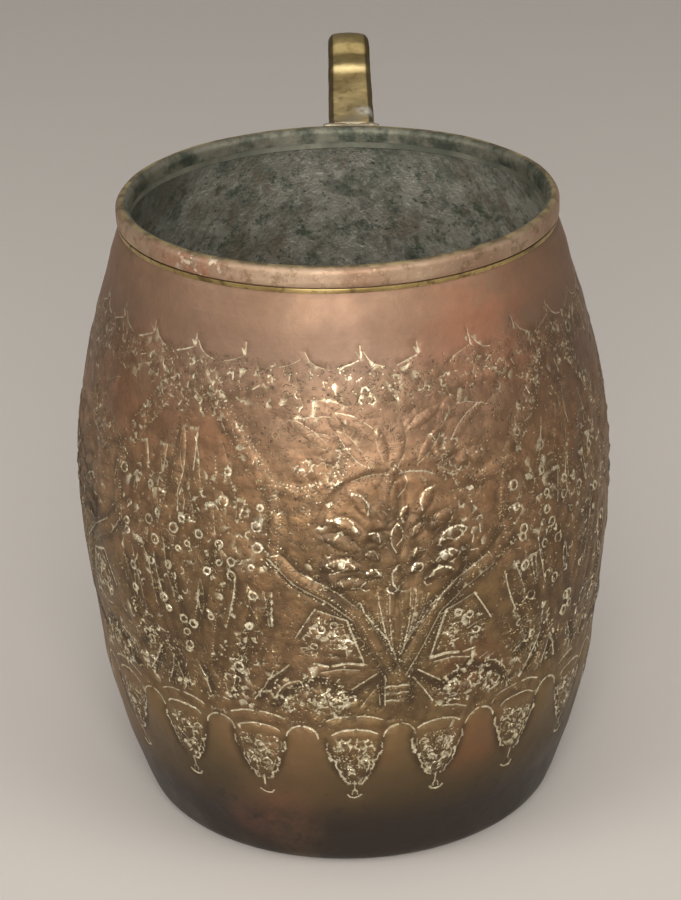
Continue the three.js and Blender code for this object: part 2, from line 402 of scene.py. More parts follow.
def tin_material():
    """Wiped tin with pale smears and brown, green and dark stains."""
    g = Graph("stained_wiped_tin")
    smear = g.noise(1.0, 6, 0.72, g.stretched(260, 260, 130), 0.15)
    mottle = g.noise(170, 6, 0.72)
    base = g.blend(g.ramp(mottle, 0.36, 0.62), (120, 120, 106), (198, 192, 176))
    base = g.tint(base, g.ramp(smear, 0.5, 0.66, 0, 0.8), 206, 204, 188)
    brown = g.ramp(g.noise(120, 5, 0.7, g.stretched(1, 1, 0.7, (3, 1, 2))), 0.5, 0.64, 0, 0.55)
    base = g.tint(base, brown, 132, 116, 92)
    green = g.ramp(g.noise(260, 6, 0.75, g.stretched(1, 1, 1, (7, 5, 1))), 0.52, 0.64, 0, 0.75)
    base = g.tint(base, green, 78, 94, 76)
    dark = g.times(near(g, -0.040, 0.008, 0.098, 0.055), g.ramp(g.noise(60, 4), 0.3, 0.6, 0.6, 1.0))
    base = g.tint(base, g.times(dark, 0.6), 62, 66, 56)
    edge = g.ramp(g.axis("Z"), 0.100, 0.109)
    base = g.tint(base, g.times(edge, 0.4), 82, 86, 74)
    base = g.tint(base, g.ramp(g.axis("Z"), 0.05, 0.0, 0, 0.4), 90, 90, 78)
    base = g.tint(base, g.ramp(g.spots(520), 0.2, 0.08, 0, 0.6), 62, 64, 54)
    rough = g.ramp(smear, 0.35, 0.7, 0.6, 0.42)
    normal = g.bump(smear, 0.0011, 0.8)
    normal = g.bump(g.noise(620, 5, 0.7), 0.0004, 0.8, normal)
    return g.finish(base, rough, normal, g.ramp(mottle, 0.3, 0.7, 0.45, 0.8))


def handle_material():
    """Cast brass, darker at the arrises, rubbed on the ridge, with painted shade over the far side of its top
    and round the rear bend, and pale smears where it meets the rim.
    """
    g = Graph("cast_brass_strap")
    base = g.blend(g.ramp(g.noise(90, 5, 0.6), 0.38, 0.62), (204, 182, 130), (160, 138, 92))
    base = g.tint(base, g.ramp(g.noise(260, 5, 0.7), 0.5, 0.66, 0, 0.6), 126, 104, 66)
    # Painted shade over the far side of the top and round the rear bend.
    base = g.tint(base, g.attribute("shade"), 120, 106, 66)
    edge = g.attribute("edge")
    base = g.tint(base, g.ramp(edge, 0.1, 0.7, 0, 0.85), 76, 62, 36)
    worn = g.attribute("worn")
    base = g.tint(base, g.ramp(worn, 0.2, 0.8, 0, 0.6), 226, 208, 156)
    foot = HANDLE_ASIDE * MM
    pale = g.ramp(g.noise(200, 4, 0.6), 0.36, 0.5)
    smear = g.times(near(g, foot + 0.0024, 0.0436, 0.1126, 0.0027), pale)
    base = g.tint(base, smear, 236, 232, 220)
    base = g.tint(base, g.times(near(g, foot, 0.0402, 0.112, 0.0040), 0.75), 172, 164, 146)
    rough = g.ramp(g.noise(150, 5), 0.3, 0.7, 0.42, 0.62)
    file_marks = g.noise(1.0, 3, 0.6, g.stretched(120, 900, 300))
    normal = g.bump(g.noise(170, 4, 0.6), 0.0008, 0.5)
    normal = g.bump(file_marks, 0.00008, 0.5, normal)
    return g.finish(base, rough, normal, 0.9)


def solder_material():
    g = Graph("grey_soft_solder")
    base = g.blend(g.ramp(g.noise(160, 5, 0.65), 0.35, 0.65), (112, 104, 88), (158, 148, 128))
    base = g.tint(base, g.ramp(g.noise(90, 4), 0.5, 0.7, 0, 0.6), 120, 100, 70)
    rough = g.ramp(g.noise(240, 4), 0.3, 0.7, 0.45, 0.65)
    return g.finish(base, rough, g.bump(g.noise(420, 4, 0.6), 0.0004, 0.6), 0.85)


def floor_material():
    g = Graph("pale_floor")
    g.shader.inputs["Base Color"].default_value = srgb(*FLOOR_COLOUR)
    g.shader.inputs["Roughness"].default_value = 0.9
    g.shader.inputs["Specular IOR Level"].default_value = 0.15
    return g.material


# ================================================================ shape of the barrel

def node_rings(node):
    """Radius and height, in millimetres, of every vertex of a CAD node that is round about Z."""
    co = np.array([v.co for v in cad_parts[node].data.vertices]) / MM
    return np.hypot(co[:, 0], co[:, 1]), co[:, 2]


def outer_stations(node, slack=0.15):
    """Heights and radii of a barrel's outside, from its CAD rings.

    It takes the widest ring at each height and leaves out those of the inside.
    """
    rows = {}
    for r, z in zip(*node_rings(node)):
        key = round(float(z), 1)
        rows[key] = max(rows.get(key, 0.0), float(r))
    heights = np.array(sorted(rows))
    radii = np.array([rows[h] for h in heights])
    kept = [min(radii[:i + 1].max(), radii[i:].max()) - slack <= r for i, r in enumerate(radii)]
    return heights[kept], radii[kept]


def cubic_table(x, y, count=1500):
    """A natural cubic spline through points, as a fine table for np.interp."""
    n = len(x)
    h = np.diff(x)
    a = np.eye(n)
    b = np.zeros(n)
    for i in range(1, n - 1):
        a[i, i - 1:i + 2] = h[i - 1], 2 * (h[i - 1] + h[i]), h[i]
        b[i] = 6 * ((y[i + 1] - y[i]) / h[i] - (y[i] - y[i - 1]) / h[i - 1])
    m = np.linalg.solve(a, b)
    fine = np.linspace(x[0], x[-1], count)
    k = np.clip(np.searchsorted(x, fine) - 1, 0, n - 2)
    left, right = fine - x[k], x[k + 1] - fine
    cubes = (m[k] * right ** 3 + m[k + 1] * left ** 3) / (6 * h[k])
    lines = (y[k] / h[k] - m[k] * h[k] / 6) * right + (y[k + 1] / h[k] - m[k + 1] * h[k] / 6) * left
    return fine, cubes + lines


heights, radii = outer_stations("body_shell")
NECK_FOOT = heights[-2]
LIP = heights[-1]
SHOULDER = heights[-3]
WALL_FOOT = heights[3]
BELLY = cad_high.x / MM
NECK_RADIUS = radii[-1]
table_z, table_r = cubic_table(heights[3:-2], radii[3:-2])


def wall_radius(z):
    return np.interp(z, table_z, table_r)


# ================================================================ engraving

# In the motifs below, e is the engraving and f maps (degrees from a panel's axis, height) onto the barrel.
MEDALLION_AXIS = 10.0
PANELS = 4
PENDANTS = 18
SWAGS = 27
PENDANT_AXIS = 0.0
SWAG_AXIS = 4.5


def arc(cx, cy, radius, start, stop, steps=6, squash=1.0):
    turns = [math.radians(start + (stop - start) * i / steps) for i in range(steps + 1)]
    return [(cx + radius * math.cos(t), cy + radius * squash * math.sin(t)) for t in turns]


def bowed(a, b, bow, steps=6):
    """Points from a to b along a shallow arc that bulges by bow to the left of the way."""
    (ax, ay), (bx, by) = a, b
    length = math.hypot(bx - ax, by - ay) or 1e-9
    nx, ny = -(by - ay) / length, (bx - ax) / length
    shares = [i / steps for i in range(steps + 1)]
    return [
        (ax + (bx - ax) * t + nx * 4 * t * (1 - t) * bow, ay + (by - ay) * t + ny * 4 * t * (1 - t) * bow)
        for t in shares
    ]


def polygon(points):
    """A test whether (x, z) lies inside a closed outline."""
    def inside(x, z):
        hit = False
        for (ax, az), (bx, bz) in zip(points, points[1:] + points[:1]):
            if (az > z) != (bz > z) and x < (bx - ax) * (z - az) / (bz - az) + ax:
                hit = not hit
        return hit
    return inside


def on_barrel(p):
    """The map for points that are on the barrel already."""
    return p


class Engraving:
    """Every cut on the barrel, in (degrees, millimetres), with its raised, close-worked and smooth places."""

    def __init__(self, seed):
        self.rng = random.Random(seed)
        self.cuts = []
        self.domes = []
        self.worked = []
        self.calm = []

    def spot(self, angle, height, turn=0.0, flip=1, size=1.0):
        """A map from millimetres about a spot, x round the barrel and y up it, turned and scaled."""
        c, s = math.cos(math.radians(turn)), math.sin(math.radians(turn))

        def to_barrel(p):
            x, y = p[0] * size, p[1] * size
            z = height + x * s + y * c
            return angle + math.degrees((x * c - y * s) * flip / wall_radius(z)), z

        return to_barrel

    def panel(self, axis, flip=1):
        """A map from (degrees from the panel's axis, height) to the barrel."""
        return lambda p: (axis + flip * p[0], p[1])

    def cut(self, here, points, width=0.36, depth=0.14, glint=0.7, wobble=0.05, skip=0.06):
        r = self.rng
        if r.random() < skip:
            return
        placed = []
        for p in points:
            a, z = here(p)
            placed.append((a + math.degrees(r.gauss(0, wobble) / wall_radius(z)), z + r.gauss(0, wobble)))
        # shine is how pale the cut is painted: its own pale metal, with a random share standing for a painted
        # highlight where the groove would face the light.
        shine = max(0.0, min(1.0, glint + r.uniform(-0.35, 0.25)))
        self.cuts.append((placed, width * r.uniform(0.8, 1.2), depth * r.uniform(0.75, 1.2), shine))

    def dot(self, here, x, y, width=0.42, depth=0.12, glint=0.6):
        self.cut(here, [(x - 0.04, y), (x + 0.04, y)], width, depth, glint, wobble=0.04, skip=0.1)

    def ring(self, here, x, y, radius=0.8, glint=0.95, width=0.36, depth=0.16):
        start = self.rng.uniform(0, TURN)
        sweep = self.rng.uniform(300, 355)
        self.cut(here, arc(x, y, radius, start, start + sweep, 10), width, depth, glint, 0.02, 0.0)

    def curl(self, here, x, y, radius=0.6, facing=90, sweep=170, glint=0.8, width=0.34):
        line = arc(x, y, radius, facing - sweep / 2, facing + sweep / 2, 5)
        self.cut(here, line, width, 0.14, glint, 0.03)

    def dots(self, here, points, step=0.75, glint=0.55, width=0.36):
        """Punches at equal steps along a line."""
        placed = [here(p) for p in points]
        at = 0.0
        for (a0, z0), (a1, z1) in zip(placed, placed[1:]):
            k = math.radians(wall_radius((z0 + z1) / 2))
            length = math.hypot((a1 - a0) * k, z1 - z0)
            while at < length:
                t = at / length
                self.dot(on_barrel, a0 + (a1 - a0) * t, z0 + (z1 - z0) * t, width=width, glint=glint)
                at += step
            at -= length

    def beside(self, here, points, offset):
        """The same line moved offset millimetres to its left, as points on the barrel."""
        placed = [here(p) for p in points]
        moved = []
        for i, (a, z) in enumerate(placed):
            a0, z0 = placed[max(i - 1, 0)]
            a1, z1 = placed[min(i + 1, len(placed) - 1)]
            k = math.radians(wall_radius(z))
            dx, dz = (a1 - a0) * k, z1 - z0
            n = math.hypot(dx, dz) or 1e-9
            moved.append((a - dz / n * offset / k, z + dx / n * offset))
        return moved

    def dome(self, here, points, half_width, rise):
        self.domes.append(([here(p) for p in points], half_width, rise))

    def work(self, here, points, half_width, strength=1.0):
        """Marks a strip as covered with the finest tooling."""
        self.worked.append(([here(p) for p in points], half_width, strength))

    def clear(self, here, points, half_width):
        """Marks a strip whose ground stays smooth, so that the shapes on it read."""
        self.calm.append(([here(p) for p in points], half_width, 1.0))

    def groove(self, here, points, width=1.1, depth=0.22):
        """A wide soft hollow along a line, without any bright metal in it."""
        self.cuts.append(([here(p) for p in points], width, depth, 0.0))

    def leaf(self, here, length=6.0, half=0.9, vein=True, glint=0.6, width=0.3):
        for side in (1, -1):
            self.cut(here, bowed((0, 0), (0, length), side * half * 0.8), width, 0.12, glint)
        if vein:
            self.cut(here, [(0, length * 0.15), (0, length * 0.7)], width * 0.8, 0.08, glint * 0.6)

    def floret(self, here, radius=1.6, petals=6, glint=0.8):
        self.dot(here, 0, 0, width=0.5, glint=glint)
        for i in range(petals):
            t = TURN * i / petals + self.rng.uniform(-12, 12)
            x, y = radius * 0.68 * math.cos(math.radians(t)), radius * 0.68 * math.sin(math.radians(t))
            self.curl(here, x, y, radius * 0.34, t, 200, glint)

    def small_mark(self, here):
        """One of the little punch marks that fill the ground."""
        kind = self.rng.randrange(6)
        if kind == 0:
            self.curl(here, 0, 0, 0.55, 90, 190)
        elif kind == 1:
            self.curl(here, 0, 0, 0.42, 90, 160)
        elif kind == 2:
            self.cut(here, [(-0.6, 0), (0.6, 0.15)], 0.3, 0.12, 0.7)
        elif kind == 3:
            self.dot(here, 0, 0, width=0.5)
            self.dot(here, 0.6, 0.1, width=0.36)
        else:
            self.dot(here, 0, 0, width=0.44)

    def faint_mark(self, here):
        kind = self.rng.randrange(3)
        if kind == 0:
            self.cut(here, [(-0.8, 0), (0.8, 0.1)], 0.24, 0.09, 0.35)
        elif kind == 1:
            self.dot(here, 0, 0, glint=0.35)
        else:
            self.curl(here, 0, 0, 0.5, glint=0.35)

    def scatter(self, here, outline, spacing, mark):
        """Fills an outline, in the panel's own coordinates, with marks that keep spacing apart."""
        r = self.rng
        inside = polygon(outline)
        xs, zs = zip(*outline)
        k = math.radians(wall_radius((min(zs) + max(zs)) / 2))
        tries = int((max(xs) - min(xs)) * k * (max(zs) - min(zs)) / spacing ** 2 * 6)
        placed = []
        for _ in range(tries):
            x, z = r.uniform(min(xs), max(xs)), r.uniform(min(zs), max(zs))
            crowded = any(((x - px) * k) ** 2 + (z - pz) ** 2 < spacing ** 2 for px, pz in placed)
            if inside(x, z) and not crowded:
                placed.append((x, z))
                mark(self.spot(*here((x, z)), r.uniform(0, TURN), size=r.uniform(0.8, 1.2)))


def border_top(e):
    """The scalloped line under the plain band, with darts at its cusps and small florets below."""
    step = TURN / SWAGS
    for k in range(SWAGS):
        f = e.panel(k * step + SWAG_AXIS)
        e.cut(f, [(0.4, 98.4), (1.5, 97.1), (3.2, 96.3), (5, 96)], 0.32, 0.12, 0.7, skip=0.15)
        e.cut(f, [(8, 96), (10.2, 96.5), (12.6, 97.2)], 0.32, 0.12, 0.65, skip=0.25)
        e.cut(f, [(-0.3, 99.4), (-0.2, 97.6)], 0.3, 0.12, 0.7, skip=0.35)
        e.cut(f, [(-1.3, 98.4), (-0.3, 97.4)], 0.3, 0.12, 0.6, skip=0.35)
        e.dots(f, [(1, 95.2), (6, 94.6), (12, 95.2)], 0.9, 0.5)
        angle = f((6.6 + e.rng.uniform(-1.2, 1.2), 93.4))[0]
        e.floret(e.spot(angle, 93.4 + e.rng.uniform(-1, 0.6), size=e.rng.uniform(0.6, 1)), 1.5, 5, 0.55)
        e.scatter(f, [(-1, 89.6), (13, 89.6), (13, 95.8), (-1, 95.8)], 1.8, e.small_mark)
        e.work(f, [(-1, 93.6), (13, 93.6)], 4.6, 0.75)
        e.dome(f, [(3.5, 92), (9.5, 92.2)], 2.2, 0.14)


def pendant(e, k):
    """A hanging bud of the lower border, and the small arch between it and the next."""
    step = TURN / PENDANTS
    axis = PENDANT_AXIS + k * step + e.rng.uniform(-0.8, 0.8)
    f = e.panel(axis)
    lift = e.rng.uniform(-0.5, 0.5)
    side = [(6, 28.6), (5.3, 26.4), (4.2, 25.2), (3.7, 23.2), (2.4, 21.6), (1, 20.2)]
    for flip in (1, -1):
        g = e.panel(axis, flip)
        rough_side = [(x + e.rng.uniform(-0.25, 0.25), z + lift) for x, z in side]
        for a, b in zip(rough_side, rough_side[1:]):
            e.cut(g, bowed(a, b, 0.42, 4), 0.36, 0.15, 0.75, skip=0.1)
            e.cut(g, bowed((a[0] - 0.9, a[1]), (b[0] - 0.9, b[1]), 0.3, 4), 0.28, 0.1, 0.5, skip=0.3)
        e.cut(g, arc(0, 30.2 + lift, 5.2, 90 - 8 * flip, 20, 6, 0.32), 0.4, 0.16, 0.85, skip=0)
        e.cut(g, arc(0, 32.2, 7, 84, 28, 6, 0.28), 0.4, 0.16, 0.75)
        e.dots(g, [(4.6, 28.6), (3.9, 25.8), (3, 23)], 0.6, 0.5, 0.3)
        e.groove(g, [(6.4, 29.6), (5.6, 26), (4.4, 23), (2, 20.4)], 1.3, 0.14)
    e.cut(f, [(0, 20.4), (-0.1, 18.4)], 0.4, 0.14, 0.75)
    hook = 1 if k % 2 else -1
    e.cut(f, arc(0.3 * hook, 17.6, 1.8, 200, 340, 7, 0.62), 0.46, 0.17, 0.9, skip=0.1)
    e.curl(f, 0.2 * hook, 17.6, 0.7, 90, 240, 0.45, 0.3)
    e.dots(f, [(-3.6, 29.4 + lift), (3.6, 29.4 + lift)], 0.62, 0.6, 0.32)
    for row, half, count in ((27.6, 3.4, 3), (25.8, 2.4, 2), (24, 1.4, 2)):
        for i in range(count):
            x = -half + 2 * half * i / (count - 1)
            s = e.spot(f((x, row))[0], row + lift, e.rng.uniform(-30, 30), size=e.rng.uniform(0.8, 1.15))
            e.curl(s, 0, 0, 0.8, 90, 190, 0.65, 0.3)
            e.curl(s, 0, -0.2, 0.35, 90, 220, 0.5, 0.26)
    e.scatter(f, [(-4.2, 29.4), (4.2, 29.4), (0.8, 21.6), (-0.8, 21.6)], 0.9, e.small_mark)
    e.work(f, [(0, 24.2), (0, 28)], 3.2, 0.9)
    e.dome(f, [(0, 22.5), (0, 28.5)], 3.8, 0.22)
    g = e.panel(axis + step / 2)
    for start, stop in ((8, 84), (96, 172)):
        e.cut(g, arc(0, 29.2, 3.6, start, stop, 6, 0.78), 0.42, 0.16, 0.8, skip=0)
    e.dots(g, [(-1.8, 32.8), (1.8, 32.8)], 0.6, 0.55, 0.32)
    e.dome(g, [(0, 27), (0, 30.2)], 2.6, 0.2)


def strap(e, here, points, width):
    """A raised band of close tooling between two rows of punches, with soft hollows along its sides."""
    for offset, glint in ((width / 2, 0.6), (-width / 2, 0.6), (width / 2 - 0.6, 0.4)):
        e.dots(on_barrel, e.beside(here, points, offset), 0.62, glint, 0.32)
    for offset in (width / 2 + 0.6, -width / 2 - 0.6):
        e.groove(on_barrel, e.beside(here, points, offset), 1, 0.1)
    e.work(here, points, width / 2 + 1.3, 0.8)
    e.dome(here, points, width / 2 + 0.6, 0.22)


def compartment(e, f):
    """The five-sided field under the medallion's arm."""
    outline = [(7, 44.6), (10.4, 53.3), (16.8, 55.4), (21, 49.6)]
    for a, b in zip(outline, outline[1:]):
        e.cut(f, [a, ((a[0] + b[0]) / 2, (a[1] + b[1]) / 2), b], 0.4, 0.16, 0.7, skip=0)
    e.groove(f, outline, 1, 0.12)
    e.cut(f, [(7.2, 44.4), (10.4, 44.9), (13.5, 44.5)], 0.6, 0.2, 0.9)
    e.cut(f, [(14.5, 44.4), (17.4, 44.7)], 0.5, 0.2, 0.8)
    e.cut(f, [(8, 43.4), (12, 43.8), (16, 43)], 0.4, 0.16, 0.6)
    e.work(f, [(11.5, 47), (13.5, 51), (16.5, 50)], 4.2, 0.95)
    e.dome(f, [(11.5, 48), (15.5, 51)], 3.2, 0.22)
    inner = [(8.6, 46), (11.2, 51.9), (16.2, 53.9), (19.3, 49.6), (16.8, 46)]
    e.dots(f, inner, 0.6, 0.6, 0.32)
    block = e.spot(*f((12.6, 49.2)))
    for i in range(4):
        e.dots(block, [(-1, -1.2 + i * 0.8), (1, -1.2 + i * 0.8)], 0.66, 0.85, 0.4)
    e.scatter(f, inner, 0.9, e.small_mark)
    for place in ((13, 52.4), (15.6, 51.6), (17.2, 48.2)):
        e.ring(e.spot(*f(place)), 0, 0, 0.62, 0.85)
    e.leaf(e.spot(*f((17.5, 46.4)), 55), 2.6, 0.7)


def lower_band(e, f):
    """The gable, little column and rounded fields between the arms' foot and the pendants."""
    e.cut(f, [(4.4, 42.5), (7, 41), (9.6, 39.6)], 0.4, 0.15, 0.7, skip=0)
    e.cut(f, [(3.4, 41), (5.6, 38.5), (8, 35.8)], 0.36, 0.14, 0.65)
    e.cut(f, [(2.6, 42), (2.6, 36)], 0.3, 0.1, 0.4)
    e.cut(f, [(4.2, 40.4), (3.6, 36.2)], 0.3, 0.1, 0.4)
    e.groove(f, [(3.8, 41.8), (9.8, 38.4)], 1.2, 0.2)
    e.groove(f, [(3.2, 41.4), (3.2, 35.4)], 1, 0.2)
    for z in (39.6, 38.2, 36.8):
        e.cut(f, bowed((0.1, z), (2.4, z), 0.2), 0.34, 0.12, 0.55)
    e.dots(f, [(5.4, 40.6), (8.8, 37.2)], 0.66, 0.5, 0.3)
    zone = [(8.5, 34.2), (9.5, 39), (14, 42.4), (23, 42.8), (27, 39), (27, 34.6)]
    e.dots(f, [(10.6, 40.2), (16, 41), (22, 39.6)], 0.6, 0.6, 0.32)
    e.cut(f, bowed((20.5, 41.2), (26, 37.8), 0.9), 0.38, 0.14, 0.6)
    e.groove(f, [(10.4, 38.4), (16, 41.8), (23, 39), (27, 35.6)], 1.4, 0.2)
    for place in ((12.6, 37.6), (17.4, 38.4), (22.2, 36.6)):
        e.floret(e.spot(*f(place), e.rng.uniform(0, 60), size=e.rng.uniform(0.8, 1.1)), 1.5, 6, 0.65)
    e.scatter(f, zone, 1, e.small_mark)
    e.work(f, [(10, 37.6), (16, 38.6), (26, 38)], 4, 0.9)
    e.dome(f, [(12.5, 37), (19.5, 38)], 2.8, 0.3)
    e.dome(f, [(24, 36.4), (25.5, 36.4)], 2.4, 0.25)


def sheaf(e, f):
    """Half of the sheaf of fine lines between the arms."""
    for i in range(8):
        x = -1 + i * 1.25
        foot = 0.2 + i * 0.3
        line = bowed((foot, 44.5 + i * 0.8), (x + 1.2, 58.6 - abs(i - 2) * 0.5), -0.5)
        e.cut(f, line, 0.26, 0.1, 0.3 if i % 2 else 0.5)
        if i % 2:
            e.dots(on_barrel, e.beside(f, line, 0.5), 0.6, 0.4, 0.3)
        e.dome(f, line, 0.5, 0.16)
    e.work(f, [(1.2, 46.5), (4, 55)], 3.4, 0.75)


def arm(e, f):
    """The polished strap that rises from the foot of the sheaf, between two deep soft hollows."""
    line = [(0.4, 42.2), (4.4, 48.2), (8, 54), (13.4, 57.8), (20.3, 61), (25, 65)]
    for offset in (1.15, -1.15):
        edge = e.beside(f, line, offset)
        e.cut(on_barrel, edge[:3], 0.36, 0.14, 0.5, skip=0)
        e.cut(on_barrel, edge[2:5], 0.34, 0.14, 0.42, skip=0.05)
        e.cut(on_barrel, edge[4:], 0.3, 0.12, 0.35)
        e.groove(on_barrel, e.beside(f, line, offset * 1.5), 1, 0.14)
    for offset in (1.9, -1.9, 0.35):
        e.dots(on_barrel, e.beside(f, line, offset), 0.6, 0.45, 0.32)
    e.dome(f, line, 1.6, 0.24)
    e.work(f, line, 3.4, 0.6)
    e.clear(f, line, 2)


def petal(e, here, length, half, glint=0.5):
    """One raised petal in a dark hollow, with a bright nick or two along its edge."""
    spine = bowed((0, 0.2), (0.25, length), half * 0.35, 5)
    e.groove(here, bowed((0, 0), (0.25, length + 0.2), half * 1.25, 5), 0.75, 0.2)
    e.groove(here, bowed((0.25, length + 0.2), (0, 0), half * 1, 5), 0.7, 0.18)
    e.cut(here, bowed((0, length * 0.2), (0.25, length), half, 4), 0.34, 0.12, glint, skip=0.25)
    e.cut(here, bowed((0.25, length), (0.1, length * 0.4), half, 4), 0.3, 0.1, glint * 0.7, skip=0.4)
    e.dome(here, spine, half + 0.25, 0.38)


# Each petal's foot (x and height in millimetres), its lean in degrees, its length and its half width.
OUTER_PETALS = (
    (4.6, 60.2, 84, 5.6, 1), (5.4, 62.8, 78, 6.4, 1.15), (5.8, 65.7, 68, 6.6, 1.2),
    (5.5, 68.7, 54, 6.2, 1.2), (4.2, 71.2, 30, 6, 1.15),
)
INNER_PETALS = (
    (2.1, 61.4, 66, 3, 0.8), (2.4, 64.2, 62, 3.2, 0.85), (2.2, 67.2, 44, 3.4, 0.85),
    (1.5, 69.8, 16, 3.6, 0.8),
)
MM_PER_DEGREE = 0.81


def medallion(e, axis):
    """A spray: a tall bud between two fans of curling petals, in a ring of swirls over a short stem."""
    for side in (1, -1):
        f = e.panel(axis, side)
        for x, z, lean, length, half in OUTER_PETALS + INNER_PETALS:
            x, z = x / MM_PER_DEGREE + e.rng.uniform(-0.4, 0.4), z + e.rng.uniform(-0.3, 0.3)
            s = e.spot(*f((x, z)), -lean + e.rng.uniform(-7, 7), flip=side)
            petal(e, s, length * e.rng.uniform(0.85, 1.1), half, e.rng.uniform(0.3, 0.8))
        rib = arc(2.6, 66.6, 4.4, 150, 10, 6, 0.9)
        e.dome(f, rib, 0.9, 0.36)
        e.groove(on_barrel, e.beside(f, rib, 1.1), 0.7, 0.18)
        swirl = arc(3.4, 67.6, 12.6, 112, 18, 8, 0.9)
        e.groove(f, swirl, 1.3, 0.12)
        e.cut(f, swirl[1:5], 0.3, 0.1, 0.4)
        e.dots(on_barrel, e.beside(f, swirl, 1), 0.7, 0.4, 0.3)
        e.dome(on_barrel, e.beside(f, swirl, -1.2), 1.1, 0.3)
        outer = arc(4, 67, 16.5, 100, 12, 8, 0.86)
        e.dots(f, outer, 0.7, 0.35, 0.3)
        e.dome(f, outer, 1.3, 0.2)
        e.groove(on_barrel, e.beside(f, outer, 1.5), 1.1, 0.1)
        e.groove(f, arc(5.2, 63, 9.6, 10, -58, 6, 0.9), 1.2, 0.22)
        for place in ((3.6, 58.4), (1.2, 58.8), (6.4, 59.4)):
            e.curl(e.spot(*f(place), e.rng.uniform(-40, 40)), 0, 0, 0.8, 200, 230, 0.45)
        e.scatter(f, [(8, 58.8), (15.5, 62), (19, 64.5), (17.5, 74), (12, 78)], 1.7, e.small_mark)
    f = e.panel(axis)
    petal(e, e.spot(*f((0, 70.6))), 9.6, 2.1, 0.55)
    petal(e, e.spot(*f((0, 71.4))), 6, 0.9, 0.3)
    petal(e, e.spot(*f((0, 64))), 6.4, 1.1, 0.5)
    petal(e, e.spot(*f((0, 57.4))), 5.6, 1, 0.35)
    e.work(f, [(0, 60), (0, 76)], 11.5, 0.5)
    e.clear(f, [(0, 61), (0, 76)], 12.5)


# Degrees from the medallion's axis, height, lean in degrees and length.
CROWN_LEAVES = ((1, 80, 12, 7), (5, 80, 38, 8), (3, 85.5, 62, 7.5), (10, 85, 30, 6), (13, 83, 52, 8))
CROWN_STROKES = ((2, 88, 100, 5), (9, 90, 80, 6), (14, 88.5, 100, 7), (20, 86, 60, 5))


def crown(e, f):
    """The quiet ground above the medallion: long bowed leaves and fine strokes."""
    side = 1 if f((1, 0))[0] > f((0, 0))[0] else -1
    for x, z, lean, length in CROWN_LEAVES:
        s = e.spot(*f((x, z)), -lean, flip=side)
        for flip in (1, -1):
            e.cut(s, bowed((0, 0), (0, length), flip * 0.9), 0.28, 0.09, 0.25)
        e.dome(s, [(0, 1), (0, length - 1)], 1.3, 0.22)
    for x, z, lean, length in CROWN_STROKES:
        s = e.spot(*f((x, z)), -lean, flip=side)
        e.cut(s, bowed((0, 0), (0, length), 0.4), 0.24, 0.07, 0.3)
    e.scatter(f, [(0, 78.5), (0, 92), (14, 92), (17, 84), (12, 79)], 2.3, e.faint_mark)
    e.work(f, [(2, 82), (4, 88)], 5, 0.22)


def corner_spray(e, f):
    """The dense spray in the angle where the strap turns, beside the medallion's top."""
    for x, z, size in ((12.5, 82, 1), (15, 79.4, 1.1), (18.5, 80, 0.9), (12.3, 78.8, 0.8)):
        e.floret(e.spot(*f((x, z)), e.rng.uniform(0, 60), size=size), 1.6, 6, 0.35)
    e.scatter(f, [(10.5, 76.5), (10.5, 84.5), (15, 83), (21, 80), (22, 76)], 1.3, e.faint_mark)
    e.work(f, [(12.5, 81), (18.5, 78.6)], 2.6, 0.4)
    for place in ((12.5, 81.6), (15.4, 79.4), (18.8, 79.4)):
        e.dome(f, [place, (place[0] + 0.4, place[1])], 1.5, 0.35)


# Degrees from the ring panel's axis and height.
RING_PLACES = (
    (1.6, 69.2), (2.6, 67.2), (8, 68.4), (9, 65.8), (0.8, 63.8), (8.4, 62.6), (15.6, 65.2), (16.2, 63),
    (16.8, 68.8), (11.4, 63.4), (4.6, 60.2), (9.8, 59.6), (5, 50.9), (1.8, 49.4), (0.2, 46.8),
    (0.4, 44.8), (6.5, 52.4), (12, 43), (9, 77.6), (10, 73), (18.2, 73.2), (14.2, 51.8), (16.5, 57),
)
# Degrees from the ring panel's axis, height, lean in degrees and length.
SPEAR_PLACES = (
    (0.8, 74, 180, 8), (1.8, 84.5, 180, 9), (5.6, 72.5, 176, 7), (3.6, 58.5, 178, 7), (9.4, 64.5, 150, 4),
    (13.2, 74, 170, 5.5), (14, 59, 165, 8), (18, 58, 178, 6.5), (6.6, 80.5, 172, 5), (11.5, 80, 165, 5),
)


# The upper and lower end of each long stroke, in degrees from the axis and height.
LONG_STROKES = (
    ((2.4, 84), (6.6, 70)), ((8, 82), (13.5, 68)), ((0.5, 79), (3.4, 62)), ((6.2, 63), (1.5, 44)),
    ((9.2, 61), (4, 42)), ((12.2, 61), (6.2, 42)), ((15, 59), (9, 41)), ((18.6, 58), (12, 44)),
    ((20.4, 57), (14.6, 44)), ((3, 58), (0.4, 48)),
)


LOW_GROUND = ((1, 35.5), (2, 43), (8.5, 47), (14.5, 52), (18, 50), (20, 43.5), (17, 38), (18, 35))
LOW_BLADES = ((14, 36.5, -32, 7), (8, 36, -18, 5.5), (3.4, 36, 20, 5.5), (17.5, 41, -50, 5))


